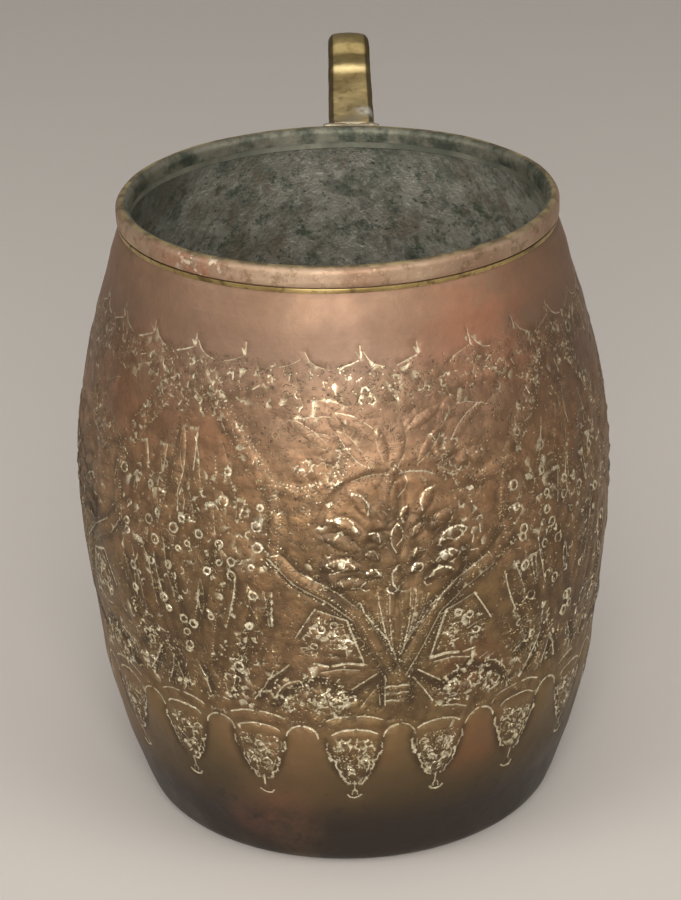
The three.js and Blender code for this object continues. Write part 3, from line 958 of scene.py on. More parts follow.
def ring_panel(e, f):
    """Half of the tall field between two medallions, from its own axis: rings, spears and long strokes."""
    half_step = TURN / PANELS / 2

    def g(p):
        return f((half_step - p[0], p[1]))

    r = e.rng
    for x, z in RING_PLACES:
        if r.random() < 0.9:
            place = g((x + r.uniform(-1.2, 1.2), z + r.uniform(-0.9, 0.9)))
            size = r.choice([0.5, 0.6, 0.7, 0.82])
            e.ring(e.spot(*place), 0, 0, size, r.choice([1, 1, 0.9, 0.6]), 0.42, 0.2)
            e.dome(on_barrel, [place, place], 1.1, 0.25)
    for x, z, lean, length in SPEAR_PLACES:
        length *= r.uniform(0.7, 1)
        s = e.spot(*g((x + r.uniform(-0.8, 0.8), z)), lean + r.uniform(-8, 8), flip=r.choice((-1, 1)))
        kind = r.random()
        if kind < 0.4:
            e.leaf(s, length, 0.7, False, 0.5, 0.3)
        elif kind < 0.75:
            e.cut(s, [(0.7, 0), (0.15, length)], 0.32, 0.15, 0.55)
            e.cut(s, [(-0.7, 0), (-0.15, length)], 0.32, 0.15, 0.5)
            e.cut(s, [(-0.7, 0.1), (0.7, 0.1)], 0.5, 0.2, 0.95)
        else:
            e.dots(s, [(0, 0), (0.2, length)], 0.62, 0.6, 0.36)
        e.dome(s, [(0, 0.5), (0, length - 0.5)], 0.9, 0.22)
    for start, stop in LONG_STROKES:
        shift = r.uniform(-0.6, 0.6)
        a, b = ((x + shift, z + r.uniform(-2, 2)) for x, z in (start, stop))
        middle = ((a[0] + b[0]) / 2, (a[1] + b[1]) / 2)
        e.cut(g, bowed(a, middle, r.uniform(-0.3, 0.3), 5), 0.28, 0.11, r.choice([0.2, 0.45, 0.7]))
        e.dots(g, [middle, b], 0.6, r.choice([0.35, 0.6]), 0.3)
        e.groove(on_barrel, e.beside(g, [a, middle, b], 0.8), 1.1, 0.12)
    e.scatter(g, LOW_GROUND, 1.2, e.small_mark)
    e.scatter(g, [(0, 54), (0, 76), (12, 78), (19, 70), (19, 58), (8, 50)], 1.8, e.small_mark)
    for x, z, lean, length in LOW_BLADES:
        s = e.spot(*g((x, z)), lean)
        e.cut(s, [(0, 0), (0.2, length * 0.5), (0, length)], 0.4, 0.15, 0.7)
        e.groove(s, [(0.9, 0), (0.9, length)], 1.1, 0.18)
    e.work(g, [(2, 38), (12, 43), (17, 46)], 4.6, 0.85)
    e.work(g, [(5, 56), (8, 66), (3, 76)], 6.5, 0.55)
    e.work(g, [(15.5, 50), (19, 57)], 3.2, 0.7)
    e.work(g, [(1, 84), (2, 92)], 3, 0.7)
    for place in ((6, 66), (3, 56), (11, 47), (12, 60), (2, 74), (16, 44)):
        e.dome(g, [place, (place[0] + 1, place[1] + 4)], 2.4, 0.3)


def high_straps(e, f):
    """The straps of close tooling that fall from the border beside each ring panel, round the medallion."""
    fall = [(40, 92.5), (36.6, 88), (31.5, 83), (25.8, 77), (24.2, 71), (25.4, 63)]
    strap(e, f, fall[:4], 3)
    strap(e, f, fall[3:], 1.5)
    turn = [(25.8, 77), (19, 76), (11.5, 78.4), (9.6, 84)]
    strap(e, f, turn, 1.6)
    e.scatter(f, [(38, 92), (44, 92.5), (44.5, 88), (36.5, 86.5)], 1.4, e.small_mark)
    e.scatter(f, [(29, 82.8), (36, 90.6), (41, 92.5), (37.4, 86), (28.4, 76.6)], 0.95, e.small_mark)
    e.scatter(f, [(30, 73), (36, 79), (40, 78), (38, 72)], 1.5, e.small_mark)
    e.dome(f, [(17, 66), (17.5, 72)], 2.8, 0.25)
    e.dome(f, [(26, 86), (22, 82.5)], 2.6, 0.22)


MOTIFS = (compartment, lower_band, sheaf, arm, crown, corner_spray, high_straps, ring_panel)


def engrave(seed=7):
    e = Engraving(seed)
    border_top(e)
    for k in range(PENDANTS):
        pendant(e, k)
    for k in range(PANELS):
        axis = MEDALLION_AXIS + k * TURN / PANELS
        medallion(e, axis)
        for side in (1, -1):
            f = e.panel(axis, side)
            for motif in MOTIFS:
                motif(e, f)
    return e


# ================================================================ fields over the unrolled barrel

STAMP_MARGIN = 2


class Field:
    """A grid of values over the unrolled barrel, from low to high millimetres up and once round."""

    def __init__(self, low, high, step):
        self.low, self.high = low, high
        self.columns = int(2 * math.pi * BELLY / step)
        self.rows = int((high - low) / step) + 1
        self.values = np.zeros((self.rows, self.columns), np.float32)
        self.per_degree = self.columns / TURN
        self.per_mm = (self.rows - 1) / (high - low)

    def stamp(self, points, half_width, value, profile):
        """Draws a line whose value falls off from its middle as profile says, keeping the larger value."""
        turns = -TURN * math.floor((points[0][0] + TURN / 2) / TURN)
        limit = TURN / 2 + STAMP_MARGIN
        for shift in (0.0, TURN, -TURN):
            placed = [(a + turns + shift, z) for a, z in points]
            if max(a for a, _ in placed) < -limit or min(a for a, _ in placed) > limit:
                continue
            for start, stop in zip(placed, placed[1:]):
                self.stamp_piece(start, stop, half_width, value, profile)

    def stamp_piece(self, start, stop, half_width, value, profile):
        k = math.radians(float(wall_radius((start[1] + stop[1]) / 2)))
        reach = half_width / k
        x0 = max(int((min(start[0], stop[0]) - reach + TURN / 2) * self.per_degree), 0)
        x1 = min(int((max(start[0], stop[0]) + reach + TURN / 2) * self.per_degree) + 2, self.columns)
        y0 = max(int((min(start[1], stop[1]) - half_width - self.low) * self.per_mm), 0)
        y1 = min(int((max(start[1], stop[1]) + half_width - self.low) * self.per_mm) + 2, self.rows)
        if x0 >= x1 or y0 >= y1:
            return
        x = ((np.arange(x0, x1) / self.per_degree - TURN / 2) - start[0])[None, :] * k
        y = (np.arange(y0, y1) / self.per_mm + self.low - start[1])[:, None]
        dx, dy = (stop[0] - start[0]) * k, stop[1] - start[1]
        t = np.clip((x * dx + y * dy) / (dx * dx + dy * dy + 1e-12), 0, 1)
        away = np.sqrt((x - t * dx) ** 2 + (y - t * dy) ** 2) / half_width
        drawn = value * profile(np.clip(1 - away, 0, 1))
        window = self.values[y0:y1, x0:x1]
        np.maximum(window, drawn.astype(np.float32), out=window)

    def blurred(self, reach):
        """The same field, averaged over a box of reach millimetres each way, twice."""
        out = self.values.astype(np.float64)
        n = max(int(reach * self.per_mm), 1)
        for _ in range(2):
            wide = np.concatenate([out[:, -n:], out, out[:, :n]], axis=1).cumsum(axis=1)
            out = (wide[:, 2 * n:] - wide[:, :-2 * n]) / (2 * n)
            tall = np.concatenate([out[:1]] * n + [out] + [out[-1:]] * n, axis=0).cumsum(axis=0)
            out = (tall[2 * n:] - tall[:-2 * n]) / (2 * n)
        made = copy.copy(self)
        made.values = out.astype(np.float32)
        return made

    def at(self, angle, z):
        """Values between the grid's points; angles go round, and 0 is taken above and below."""
        x = ((angle + TURN / 2) % TURN) * self.per_degree
        y = np.clip((z - self.low) * self.per_mm, 0, self.rows - 1.001)
        x0, y0 = np.floor(x).astype(int), np.floor(y).astype(int)
        fx, fy = x - x0, y - y0
        x0, x1 = x0 % self.columns, (x0 + 1) % self.columns
        v = self.values
        low = v[y0, x0] * (1 - fx) + v[y0, x1] * fx
        high = v[y0 + 1, x0] * (1 - fx) + v[y0 + 1, x1] * fx
        value = low * (1 - fy) + high * fy
        return np.where((z < self.low) | (z > self.high), 0.0, value)


WAVE_RADIUS = 47.5
FULL_WAVE = 2 * math.pi


def ripple(seed, count, low, high):
    """A smooth random height over (degrees, millimetres) that closes round the barrel, about -1 to 1."""
    r = random.Random(seed)
    waves = [
        (r.randint(low, high), r.uniform(-1, 1) * r.uniform(low, high) / WAVE_RADIUS, r.uniform(0, FULL_WAVE))
        for _ in range(count)
    ]

    def height(angle, z):
        total = 0.0
        for turns, rise, phase in waves:
            total = total + np.sin(np.radians(angle) * turns + z * rise + phase)
        return total / math.sqrt(count / 2) / 2

    return height


# ================================================================ meshes

def add_values(mesh, values):
    """Adds named values at every vertex, for a material to read."""
    for key, numbers in values.items():
        layer = mesh.attributes.new(key, "FLOAT", "POINT")
        layer.data.foreach_set("value", np.asarray(numbers, np.float32))


def mesh_piece(name, vertices, faces, material, values=None):
    """A smooth-shaded object on the root body, from vertices in millimetres."""
    mesh = bpy.data.meshes.new(name)
    mesh.from_pydata([tuple(v) for v in np.asarray(vertices) * MM], [], faces)
    add_values(mesh, values or {})
    mesh.polygons.foreach_set("use_smooth", np.ones(len(mesh.polygons), bool))
    mesh.materials.append(material)
    mesh.update()
    piece = bpy.data.objects.new(name, mesh)
    bpy.context.scene.collection.objects.link(piece)
    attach(piece, "root")
    return piece


def round_points(angle, radius, z):
    a = np.radians(angle)
    return np.stack([radius * np.sin(a), -radius * np.cos(a), z + 0 * a], axis=-1)


def grid_faces(rows, columns, first=0, closed=False):
    """Quads between rows of vertices that go round; closed joins the last row to the first."""
    faces = []
    for i in range(rows if closed else rows - 1):
        low, high = first + i * columns, first + ((i + 1) % rows) * columns
        for j in range(columns):
            k = (j + 1) % columns
            faces.append((low + j, low + k, high + k, high + j))
    return faces


# The engraved zone, in millimetres up the barrel, and how finely it is meshed.
ZONE_LOW = 13.0
ZONE_HIGH = 102.5
ZONE_COLUMNS = 400
SIDE_ROWS = 200
CUT_STEP = 0.66
RING_STEPS = 10
GROUND_STEP = 1.4
ROW_SQUEEZE = 0.87
SHORTEST_LINE = 0.3
DOT_TURN = 20
DOT_SPARE = 0.03
EDGE_ROOM = 0.3
SEAM_ROOM = 0.35
SAME_PLACE = 0.15
CUT_CLEARANCE = 0.45
SKIN_RADIUS = 46.0
DEGREE_MM = math.radians(SKIN_RADIUS)

# Grid steps of the fields that hold cuts, domes and worked strips, and how far each is blurred.
CUT_GRID = 0.06
DOME_GRID = 0.25
STRIP_GRID = 0.4
STRIP_EDGE = 2.2
DOME_BLUR = 0.3
STRIP_BLUR = 0.8
HOLLOW_BLUR = 0.7
HOLLOW_FULL = 0.11

# Cuts lose depth from WEAR_FROM up to WEAR_FULL, where UPPER_WEAR of it has gone.
WEAR_FROM = 66.0
WEAR_FULL = 82.0
UPPER_WEAR = 0.45

# How far the ground of the zone lies under the plain wall, and the sizes of lumps and dents.
RELIEF_ROOM = 0.36
LUMP_SIZE = 0.1
DENT_SIZE = 0.022
PLAIN_LUMPS = 0.03
SKIN_DROP = 0.03
FADE_LOW = 6
FADE_HIGH = 4

# Thicknesses of the copper at the neck, the wall and the base, and rings across the base.
NECK_SHEET = 0.8
WALL_SHEET = 0.9
BASE_SHEET = 1.2
BASE_RINGS = (0.25, 0.5, 0.75, 0.93)
INSIDE_FLOOR = ((35.4, 2.0), (33.1, BASE_SHEET), (16.0, BASE_SHEET))


def cut_vertices(cuts):
    """Points along the middle and both edges of every cut, in (degrees, millimetres): middles first."""
    middles, edges = [], []
    for points, width, _, _ in cuts:
        half = width / 2
        k = math.radians(float(wall_radius(points[0][1])))
        line = np.array([(a * k, z) for a, z in points])
        steps = np.hypot(*np.diff(line, axis=0).T)
        total = float(steps.sum())
        if total < SHORTEST_LINE:
            middles.append((line.mean(axis=0) / (k, 1))[None])
            turn = np.radians(np.arange(4) * 90 + DOT_TURN)
            ring = np.stack([np.cos(turn), np.sin(turn)], axis=1) * (half + DOT_SPARE)
            edges.append((line.mean(axis=0) + ring) / (k, 1))
            continue
        steps_along = max(int(total / CUT_STEP), RING_STEPS if len(points) > RING_STEPS else 1)
        at = np.linspace(0, total, steps_along + 1)
        along = np.concatenate([[0], steps.cumsum()])
        x, z = np.interp(at, along, line[:, 0]), np.interp(at, along, line[:, 1])
        dx, dz = np.gradient(x), np.gradient(z)
        n = np.hypot(dx, dz) + 1e-9
        nx, nz = -dz / n, dx / n
        middles.append(np.stack([x / k, z], axis=1))
        for side in (half, -half):
            edges.append(np.stack([(x + nx * side) / k, z + nz * side], axis=1))
        ends = np.array([
            (x[0] - dx[0] / n[0] * half, z[0] - dz[0] / n[0] * half),
            (x[-1] + dx[-1] / n[-1] * half, z[-1] + dz[-1] / n[-1] * half),
        ])
        edges.append(ends / (k, 1))
    return np.concatenate(middles), np.concatenate(edges)


def cell_keys(points, cell):
    """The square cell of the unrolled barrel that each point falls in."""
    return np.round(points * (DEGREE_MM, 1) / cell).astype(int)


def thin_out(points, cell):
    """Keeps the first point in each small cell."""
    _, first = np.unique(cell_keys(points, cell), axis=0, return_index=True)
    return points[np.sort(first)]


def ground_points():
    """Staggered rows of points over the whole zone, in (degrees, millimetres)."""
    across = int(TURN * DEGREE_MM / GROUND_STEP)
    rows = int((ZONE_HIGH - ZONE_LOW) / (GROUND_STEP * ROW_SQUEEZE))
    ground = []
    for i in range(rows):
        height = ZONE_LOW + (i + 1) * (ZONE_HIGH - ZONE_LOW) / (rows + 1)
        for j in range(across):
            ground.append((-TURN / 2 + TURN * (j + 0.5 * (i % 2) + 0.25) / across, height))
    return np.array(ground)


def zone_vertices(e):
    """Every vertex of the engraved zone in (degrees, millimetres), inside its border."""
    points = np.concatenate(cut_vertices(e.cuts))
    points[:, 0] = (points[:, 0] + TURN / 2) % TURN - TURN / 2
    points = thin_out(points, SAME_PLACE)
    ground = ground_points()
    taken = set()
    for x, z in cell_keys(points, CUT_CLEARANCE):
        taken.update(((x, z), (x + 1, z), (x - 1, z), (x, z + 1), (x, z - 1)))
    free = [tuple(key) not in taken for key in cell_keys(ground, CUT_CLEARANCE)]
    points = np.concatenate([points, ground[free]])
    level = (points[:, 1] > ZONE_LOW + EDGE_ROOM) & (points[:, 1] < ZONE_HIGH - EDGE_ROOM)
    return points[level & (np.abs(points[:, 0]) < TURN / 2 - SEAM_ROOM)]


def zone_mesh(e):
    """The engraved zone's (degrees, millimetres) vertices and its triangles; its side borders match."""
    turn = np.linspace(-TURN / 2, TURN / 2, ZONE_COLUMNS + 1)
    side = np.linspace(ZONE_LOW, ZONE_HIGH, SIDE_ROWS)[1:-1]
    border = [(a, z) for z in (ZONE_LOW, ZONE_HIGH) for a in turn]
    border += [(a, z) for a in (-TURN / 2, TURN / 2) for z in side]
    points = np.concatenate([np.array(border), zone_vertices(e)])
    flat = [Vector((a * DEGREE_MM, z)) for a, z in points]
    vertices, _, triangles, *_ = delaunay_2d_cdt(flat, [], [], 0, 1e-6)
    return np.array([(v.x / DEGREE_MM, v.y) for v in vertices]), triangles


def zone_field(step):
    return Field(ZONE_LOW, ZONE_HIGH, step)


def cut_fields(cuts):
    """How deep the cuts go, and how pale they are painted: their own pale metal with a painted highlight."""
    depth, glint = zone_field(CUT_GRID), zone_field(CUT_GRID)
    for points, width, deep, shine in cuts:
        worn = UPPER_WEAR * min(max((points[0][1] - WEAR_FROM) / (WEAR_FULL - WEAR_FROM), 0), 1)
        depth.stamp(points, width / 2, deep * (1 - worn), lambda t: t)
        if shine > 0:
            glint.stamp(points, width / 2, shine, np.sqrt)
    return depth, glint


def strip_field(step, strips, profile, blur):
    """A blurred field of strips, each (points, half width, value)."""
    field = zone_field(step)
    for points, half_width, value in strips:
        field.stamp(points, half_width, value, profile)
    return field.blurred(blur)


def full_turn(columns):
    """Equal steps of angle once round the barrel, from -180 degrees."""
    return np.arange(columns) * TURN / columns - TURN / 2


def wall_rows(low, high, count, inset=0.0):
    """(radius, height) rows along the wall, inset from its outside."""
    return [(float(wall_radius(h)) - inset, h) for h in np.linspace(low, high, count)]


def body_piece():
    """The copper wall: the engraved zone, plain rings above and below, the lip, the inside and the base."""
    e = engrave()
    depth, glint = cut_fields(e.cuts)
    domes = strip_field(DOME_GRID, e.domes, lambda t: t * t * (3 - 2 * t), DOME_BLUR)
    rich, calm = (
        strip_field(STRIP_GRID, strips, lambda t: np.minimum(t * STRIP_EDGE, 1), STRIP_BLUR)
        for strips in (e.worked, e.calm)
    )
    hollow = depth.blurred(HOLLOW_BLUR)
    lumps, dents = ripple(3, 40, 6, 34), ripple(5, 60, 30, 90)

    def surface(angle, z, plain):
        raised = domes.at(angle, z) + LUMP_SIZE * lumps(angle, z) + DENT_SIZE * dents(angle, z)
        fade = np.clip((z - ZONE_LOW) / FADE_LOW, 0, 1) * np.clip((ZONE_HIGH - z) / FADE_HIGH, 0, 1)
        radius = plain - RELIEF_ROOM * fade + (raised * fade)
        radius = radius + PLAIN_LUMPS * lumps(angle, z) * (1 - fade) - SKIN_DROP
        return np.minimum(radius - depth.at(angle, z), BELLY)

    placed, triangles = zone_mesh(e)
    angle, z = placed[:, 0], placed[:, 1]
    vertices = [round_points(angle, surface(angle, z, wall_radius(z)), z)]
    faces = [tuple(t) for t in triangles]

    foot = [(float(r), float(h)) for r, h in zip(radii[:4], heights[:4])]
    below = [(radii[0] * share, heights[0]) for share in BASE_RINGS] + smooth_rows(foot, 3)
    below += wall_rows(WALL_FOOT, ZONE_LOW, 9)[1:]
    shoulder = wall_rows(ZONE_HIGH, SHOULDER, 7)
    neck = NECK_RADIUS - NECK_SHEET
    above = shoulder + [(NECK_RADIUS, NECK_FOOT), (NECK_RADIUS, LIP), (neck, LIP), (neck, NECK_FOOT)]
    above += wall_rows(SHOULDER, WALL_FOOT, 24, WALL_SHEET) + list(INSIDE_FLOOR)
    uneven_below = [height >= WALL_FOOT / 2 for _, height in below]
    uneven_above = [i < len(shoulder) for i in range(len(above))]

    columns = ZONE_COLUMNS
    turn = full_turn(columns)
    first = len(placed)
    for rows, uneven, edge_row, centre_height in (
        (below, uneven_below, 0, 0.0),
        (above, uneven_above, len(above) - 1, BASE_SHEET),
    ):
        for (radius, height), shaped in zip(rows, uneven):
            level = np.full(columns, height)
            out = surface(turn, level, radius) if shaped else np.full(columns, radius)
            vertices.append(round_points(turn, out, level))
        faces += grid_faces(len(rows), columns, first)
        # The base closes facing down and the inside floor facing up.
        edge = first + edge_row * columns
        centre = first + len(rows) * columns
        for j in range(columns):
            ends = edge + j, edge + (j + 1) % columns
            faces.append((centre, *(ends if rows is above else ends[::-1])))
        vertices.append(np.array([[0.0, 0.0, centre_height]]))
        first = centre + 1

    vertices = np.concatenate(vertices)
    plain = np.zeros(len(vertices) - len(placed))
    values = {
        # cut carries how pale each cut is painted: its pale metal with a painted highlight.
        "cut": glint.at(angle, z),
        "hollow": np.clip(hollow.at(angle, z) / HOLLOW_FULL, 0, 1),
        "rich": rich.at(angle, z),
        "calm": calm.at(angle, z),
    }
    values = {key: np.concatenate([numbers, plain]) for key, numbers in values.items()}
    piece = mesh_piece("engraved_body", vertices, faces, copper_wall_material(), values)
    weld(piece)
    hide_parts("body_shell")


def weld(piece, distance=0.004):
    """Joins vertices closer than distance in millimetres and turns every face outward."""
    mesh = bmesh.new()
    mesh.from_mesh(piece.data)
    bmesh.ops.remove_doubles(mesh, verts=mesh.verts, dist=distance * MM)
    bmesh.ops.recalc_face_normals(mesh, faces=mesh.faces)
    mesh.to_mesh(piece.data)
    mesh.free()


def smooth_rows(points, times):
    """Adds points between (radius, height) points along a Catmull-Rom curve."""
    curve = []
    padded = [points[0]] + points + [points[-1]]
    for i in range(1, len(padded) - 2):
        p0, p1, p2, p3 = (np.array(padded[i + k]) for k in (-1, 0, 1, 2))
        for step in range(times):
            t = step / times
            bend, turn = 2 * p0 - 5 * p1 + 4 * p2 - p3, 3 * p1 - p0 - 3 * p2 + p3
            p = 0.5 * (2 * p1 + (p2 - p0) * t + bend * t * t + turn * t ** 3)
            curve.append((float(p[0]), float(p[1])))
    return curve + [points[-1]]


def crease(piece, degrees=38):
    """Keeps edges sharper than an angle crisp under smooth shading."""
    piece.data.set_sharp_from_angle(angle=math.radians(degrees))


RIM_COLUMNS = 480
BAND_SHEET = 0.4
CROWN_STEPS = 14
INNER_LEG_SHORT = 0.6
WORN_AT = -36
WORN_WIDTH = 9


def turned_piece(name, rows, material, shift, values=None):
    """A closed ring section turned once round; shift moves each row's radius and height by angle."""
    turn = full_turn(RIM_COLUMNS)
    vertices = []
    for i, (radius, height) in enumerate(rows):
        dr, dz = shift(turn, i)
        vertices.append(round_points(turn, radius + dr, height + dz))
    faces = grid_faces(len(rows), RIM_COLUMNS, 0, True)
    values = {key: np.repeat(numbers, RIM_COLUMNS) for key, numbers in (values or {}).items()}
    piece = mesh_piece(name, np.concatenate(vertices), faces, material, values)
    weld(piece)
    crease(piece)
    return piece


def band_piece():
    """The folded strip over the edge, with a rounded crown and slightly wavy, dented legs."""
    low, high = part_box("rim_band")
    outer, top, foot = high.x / MM, high.z / MM, low.z / MM
    ring_radii, _ = node_rings("rim_band")
    inner = ring_radii.min()
    middle, half = (outer + inner) / 2, (outer - inner) / 2
    fold = top - BAND_SHEET
    # Each corner of the section has a radius, a height and how far it faces inward, from 0 to 1.
    section = [(outer, h, 0.0) for h in np.linspace(foot, top - half, 6)[:-1]]
    section[0] = (outer - 0.12, foot, 0.0)
    for i in range(CROWN_STEPS + 1):
        t = math.pi * i / CROWN_STEPS
        section.append((middle + half * math.cos(t), top - half + half * math.sin(t), i / CROWN_STEPS))
    section += [(inner, h, 1.0) for h in np.linspace(top - half, foot + INNER_LEG_SHORT, 5)[1:]]
    section += [(inner + BAND_SHEET, foot + INNER_LEG_SHORT, 0.5), (inner + BAND_SHEET, fold, 0.5)]
    section += [(outer - BAND_SHEET, fold, 0.5), (outer - BAND_SHEET, foot, 0.5)]
    rows = [(r, h) for r, h, _ in section]
    facing = [inward for _, _, inward in section]
    wave, nicks = ripple(11, 14, 2, 14), ripple(13, 40, 40, 160)

    def shift(angle, i):
        height = rows[i][1]
        worn = np.exp(-((angle - WORN_AT) / WORN_WIDTH) ** 2)
        uneven = 0.05 * wave(angle, height) + 0.015 * nicks(angle, height)
        dr = uneven - 0.1 - 0.06 * worn * (nicks(angle, height * 3) > 0.3)
        if height > foot + 1:
            return dr, -0.05 - 0.05 * wave(angle + 90, 0) - 0.05 * worn
        return dr, 0.04 * wave(angle + 40, 0)

    piece = turned_piece("folded_rim_band", rows, rim_copper_material(), shift, {"inner": facing})
    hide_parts("rim_band")


def braze_piece(node, name, outside, material):
    """A thin uneven bead that fills the corner under one leg of the band."""
    low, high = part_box(node)
    ring_radii, _ = node_rings(node)
    foot, top = low.z / MM, high.z / MM
    wave, beads = ripple(17 if outside else 19, 20, 3, 30), ripple(23, 50, 40, 150)
    toward = -1 if outside else 1
    near_wall, far = sorted((ring_radii.min(), ring_radii.max()), reverse=not outside)
    if outside:
        rows = [(near_wall, top), (far - 0.1, top), (far - 0.06, (top + foot) / 2)]
        rows += [(far - 0.2, foot - 0.28), (near_wall, foot - 0.05)]
    else:
        rows = [(near_wall, top + 0.2), (far + 0.02, top + 0.32), (far - 0.04, (top + foot) / 2)]
        rows += [(far - 0.1, foot - 0.3), (near_wall - 0.1, foot - 0.6), (near_wall, foot - 0.3)]

    def shift(angle, i):
        size = 0.03 * wave(angle, 0) + 0.015 * beads(angle, 0)
        return (toward * (0.03 + size) if i in (1, 2) else 0.0), 0.0

    piece = turned_piece(name, rows, material, shift)
    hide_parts(node)


# How far the tin's two faces lie inside the wall's outside, its gap at the neck, and its thickness.
TIN_BACK = 1.15
TIN_FACE = 1.55
TIN_NECK_GAP = 0.25
TIN_SKIN = 0.4
TIN_COLUMNS = 360


def lining_piece():
    """The tin skin: smooth against the copper, uneven with wiping marks inside."""
    low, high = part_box("tin_lining")
    floor, brim = low.z / MM, high.z / MM + 0.1
    neck = NECK_RADIUS - NECK_SHEET - TIN_NECK_GAP
    outside = [(0.0, floor), (20.0, floor), (32.0, floor), (35.2, floor + 1.0)]
    outside += wall_rows(WALL_FOOT, SHOULDER, 16, TIN_BACK) + [(neck, brim)]
    inside = [(neck - TIN_SKIN, brim)] + wall_rows(SHOULDER, WALL_FOOT + 1, 110, TIN_FACE)
    inside += [(34.9, floor + 1.6), (32.4, floor + 0.55)]
    inside += [(radius, floor + TIN_SKIN) for radius in (28.0, 18.0, 8.0, 0.0)]
    rows = outside + inside
    turn = full_turn(TIN_COLUMNS)
    broad, wiped, fine = ripple(29, 40, 5, 30), ripple(31, 60, 30, 110), ripple(37, 60, 90, 220)
    vertices = []
    for i, (radius, height) in enumerate(rows):
        shaped = np.full(TIN_COLUMNS, radius)
        if i > len(outside) and radius > 1:
            uneven = 0.09 * broad(turn, height) + 0.05 * wiped(turn, height * 0.4)
            uneven = uneven + 0.025 * fine(turn, height)
            shaped = radius + (uneven - 0.16) * np.clip((SHOULDER - 1 - height) / 6, 0, 1)
        vertices.append(round_points(turn, np.maximum(shaped, 0), np.full(TIN_COLUMNS, height)))
    faces = grid_faces(len(rows), TIN_COLUMNS)
    piece = mesh_piece("wiped_tin_lining", np.concatenate(vertices), faces, tin_material())
    weld(piece)
    crease(piece, 50)
    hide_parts("tin_lining")


def remeshed_copy(node, name, material, voxel, smoothing):
    """A new piece from a CAD node's solid, remeshed finely and smoothed so that its edges round off."""
    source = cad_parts[node]
    piece = bpy.data.objects.new(name, source.data.copy())
    bpy.context.scene.collection.objects.link(piece)
    weld(piece, 0.01)
    remesh = piece.modifiers.new("remesh", "REMESH")
    remesh.mode = "VOXEL"
    remesh.voxel_size = voxel * MM
    remesh.adaptivity = 0.0
    smooth = piece.modifiers.new("smooth", "SMOOTH")
    smooth.factor = 0.5
    smooth.iterations = smoothing
    made = bpy.data.meshes.new_from_object(piece.evaluated_get(bpy.context.evaluated_depsgraph_get()))
    made.name = name
    old = piece.data
    piece.modifiers.clear()
    piece.data = made
    bpy.data.meshes.remove(old)
    made.materials.clear()
    made.materials.append(material)
    made.polygons.foreach_set("use_smooth", np.ones(len(made.polygons), bool))
    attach(piece, "root")
    return piece


def mesh_arrays(mesh):
    """Every vertex of a mesh in millimetres, and its normal."""
    n = len(mesh.vertices)
    co, normal = np.zeros(n * 3), np.zeros(n * 3)
    mesh.vertices.foreach_get("co", co)
    mesh.vertices.foreach_get("normal", normal)
    return co.reshape(-1, 3) / MM, normal.reshape(-1, 3)


def move_vertices(piece, mm):
    piece.data.vertices.foreach_set("co", (mm * MM).ravel())
    piece.data.update()


def ramped(values, start, length):
    """0 up to start, rising to 1 over length."""
    return np.clip((values - start) / length, 0, 1)


def wave_sum(seed, count, low, high):
    """Smooth random values over points in millimetres, about -1 to 1, with wavelengths from low to high."""
    r = random.Random(seed)
    waves = []
    for _ in range(count):
        way = Vector((r.gauss(0, 1), r.gauss(0, 1), r.gauss(0, 1))).normalized()
        waves.append((np.array(way) * 2 * math.pi / r.uniform(low, high), r.uniform(0, 2 * math.pi)))

    def value(points):
        return sum(np.sin(points @ way + phase) for way, phase in waves) / math.sqrt(count / 2) / 2

    return value


# Places on the handle in millimetres: where its crowning begins, its ridge, the far side and the rear bend.
CROWN_OUT = 44
CROWN_UP = 95
RIDGE_OUT = 57.4
FAR_SIDE_OUT = 58.4
BEND_OUT = 66
TOP_DEPTH = 9


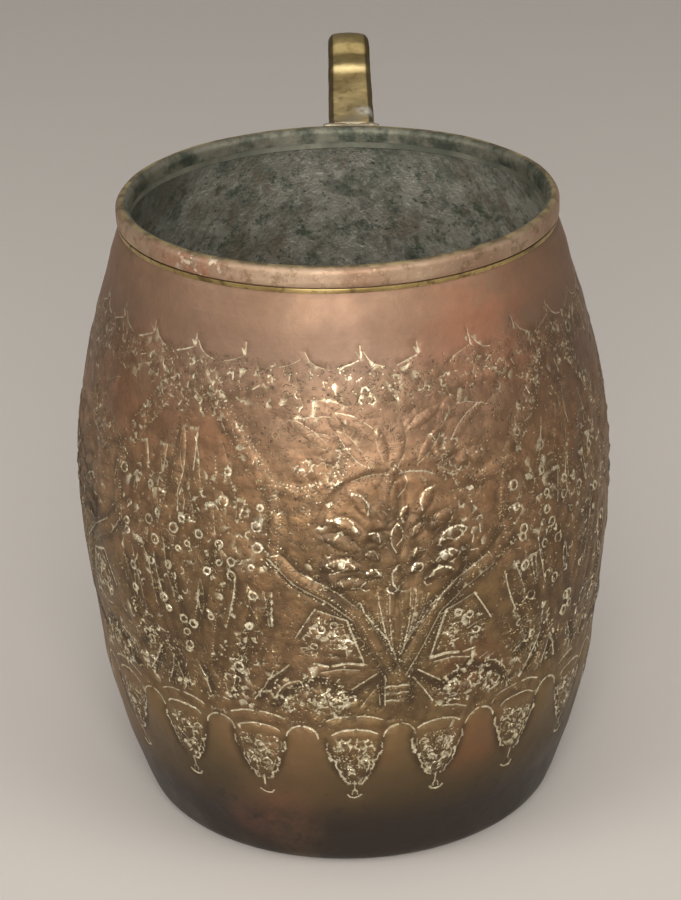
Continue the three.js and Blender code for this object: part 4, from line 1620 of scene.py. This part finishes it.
def handle_piece():
    """The cast strap, from its CAD solid, with rounded arrises, a crowned top, lumps and worn places."""
    piece = remeshed_copy("handle", "cast_handle", handle_material(), 0.34, 6)
    mm, _ = mesh_arrays(piece.data)
    low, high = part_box("handle")
    bumps, pits = wave_sum(41, 40, 3.0, 11.0), wave_sum(43, 60, 0.9, 2.6)
    middle, half = (low.x + high.x) / 2 / MM, (high.x - low.x) / 2 / MM
    crowned = ramped(mm[:, 1], CROWN_OUT, 22) * ramped(mm[:, 2], CROWN_UP, 15)
    across = (mm[:, 0] - middle) / half
    mm[:, 0] = middle + (mm[:, 0] - middle) * (1 - 0.07 * crowned)
    mm[:, 2] -= 0.55 * crowned * across ** 2
    move_vertices(piece, mm)
    _, normal = mesh_arrays(piece.data)
    mm = mm + normal * (0.07 * bumps(mm) + 0.025 * pits(mm) - 0.09)[:, None]
    move_vertices(piece, mm)
    _, normal = mesh_arrays(piece.data)
    edge = ramped(np.abs(across), 0.7, 0.14)
    facing = -normal[:, 1]
    near_top = mm[:, 2] > high.z / MM - TOP_DEPTH
    ridge = np.clip(2.0 - np.abs(mm[:, 1] - RIDGE_OUT), 0, 1)
    worn = np.clip((facing - 0.5) * 2.2, 0, 1) * near_top * (1 - edge) * ridge
    # shade is painted shade: darker over the far side of the top and round the rear bend.
    shade = ramped(mm[:, 1], FAR_SIDE_OUT, 0.6) * near_top * 0.55
    shade = np.maximum(shade, ramped(mm[:, 1], BEND_OUT, 4) * 0.5)
    add_values(piece.data, {"edge": edge, "worn": worn, "shade": shade})
    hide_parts("handle")


def solder_piece(node, name, seed):
    """A lumpy collar that fills the joint between a handle foot and the wall."""
    piece = remeshed_copy(node, name, solder_material(), 0.22, 3)
    mm, normal = mesh_arrays(piece.data)
    lumps = wave_sum(seed, 40, 1.6, 6.0)
    move_vertices(piece, mm + normal * (0.16 + 0.2 * lumps(mm))[:, None])
    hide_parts(node)


def make_floor():
    """A pale floor a hair under the mug's foot."""
    corners = [(-1, -1), (1, -1), (1, 1), (-1, 1)]
    mesh = bpy.data.meshes.new("floor")
    mesh.from_pydata([(x * FLOOR_HALF, y * FLOOR_HALF, 0) for x, y in corners], [], [(0, 1, 2, 3)])
    mesh.materials.append(floor_material())
    floor = bpy.data.objects.new("floor", mesh)
    floor.location.z = -FLOOR_DROP
    bpy.context.scene.collection.objects.link(floor)


make_camera()
make_lights()
make_floor()
body_piece()
band_piece()
yellow = braze_material("yellow_brass_braze", (184, 160, 108), (134, 114, 72))
tarnished = braze_material("tarnished_braze", (116, 114, 98), (82, 84, 72), 0.18)
braze_piece("rim_braze_outer", "braze_line_outer", True, yellow)
braze_piece("rim_braze_inner", "braze_line_inner", False, tarnished)
lining_piece()
handle_piece()
solder_piece("handle_solder_upper", "solder_collar_upper", 47)
solder_piece("handle_solder_lower", "solder_collar_lower", 53)
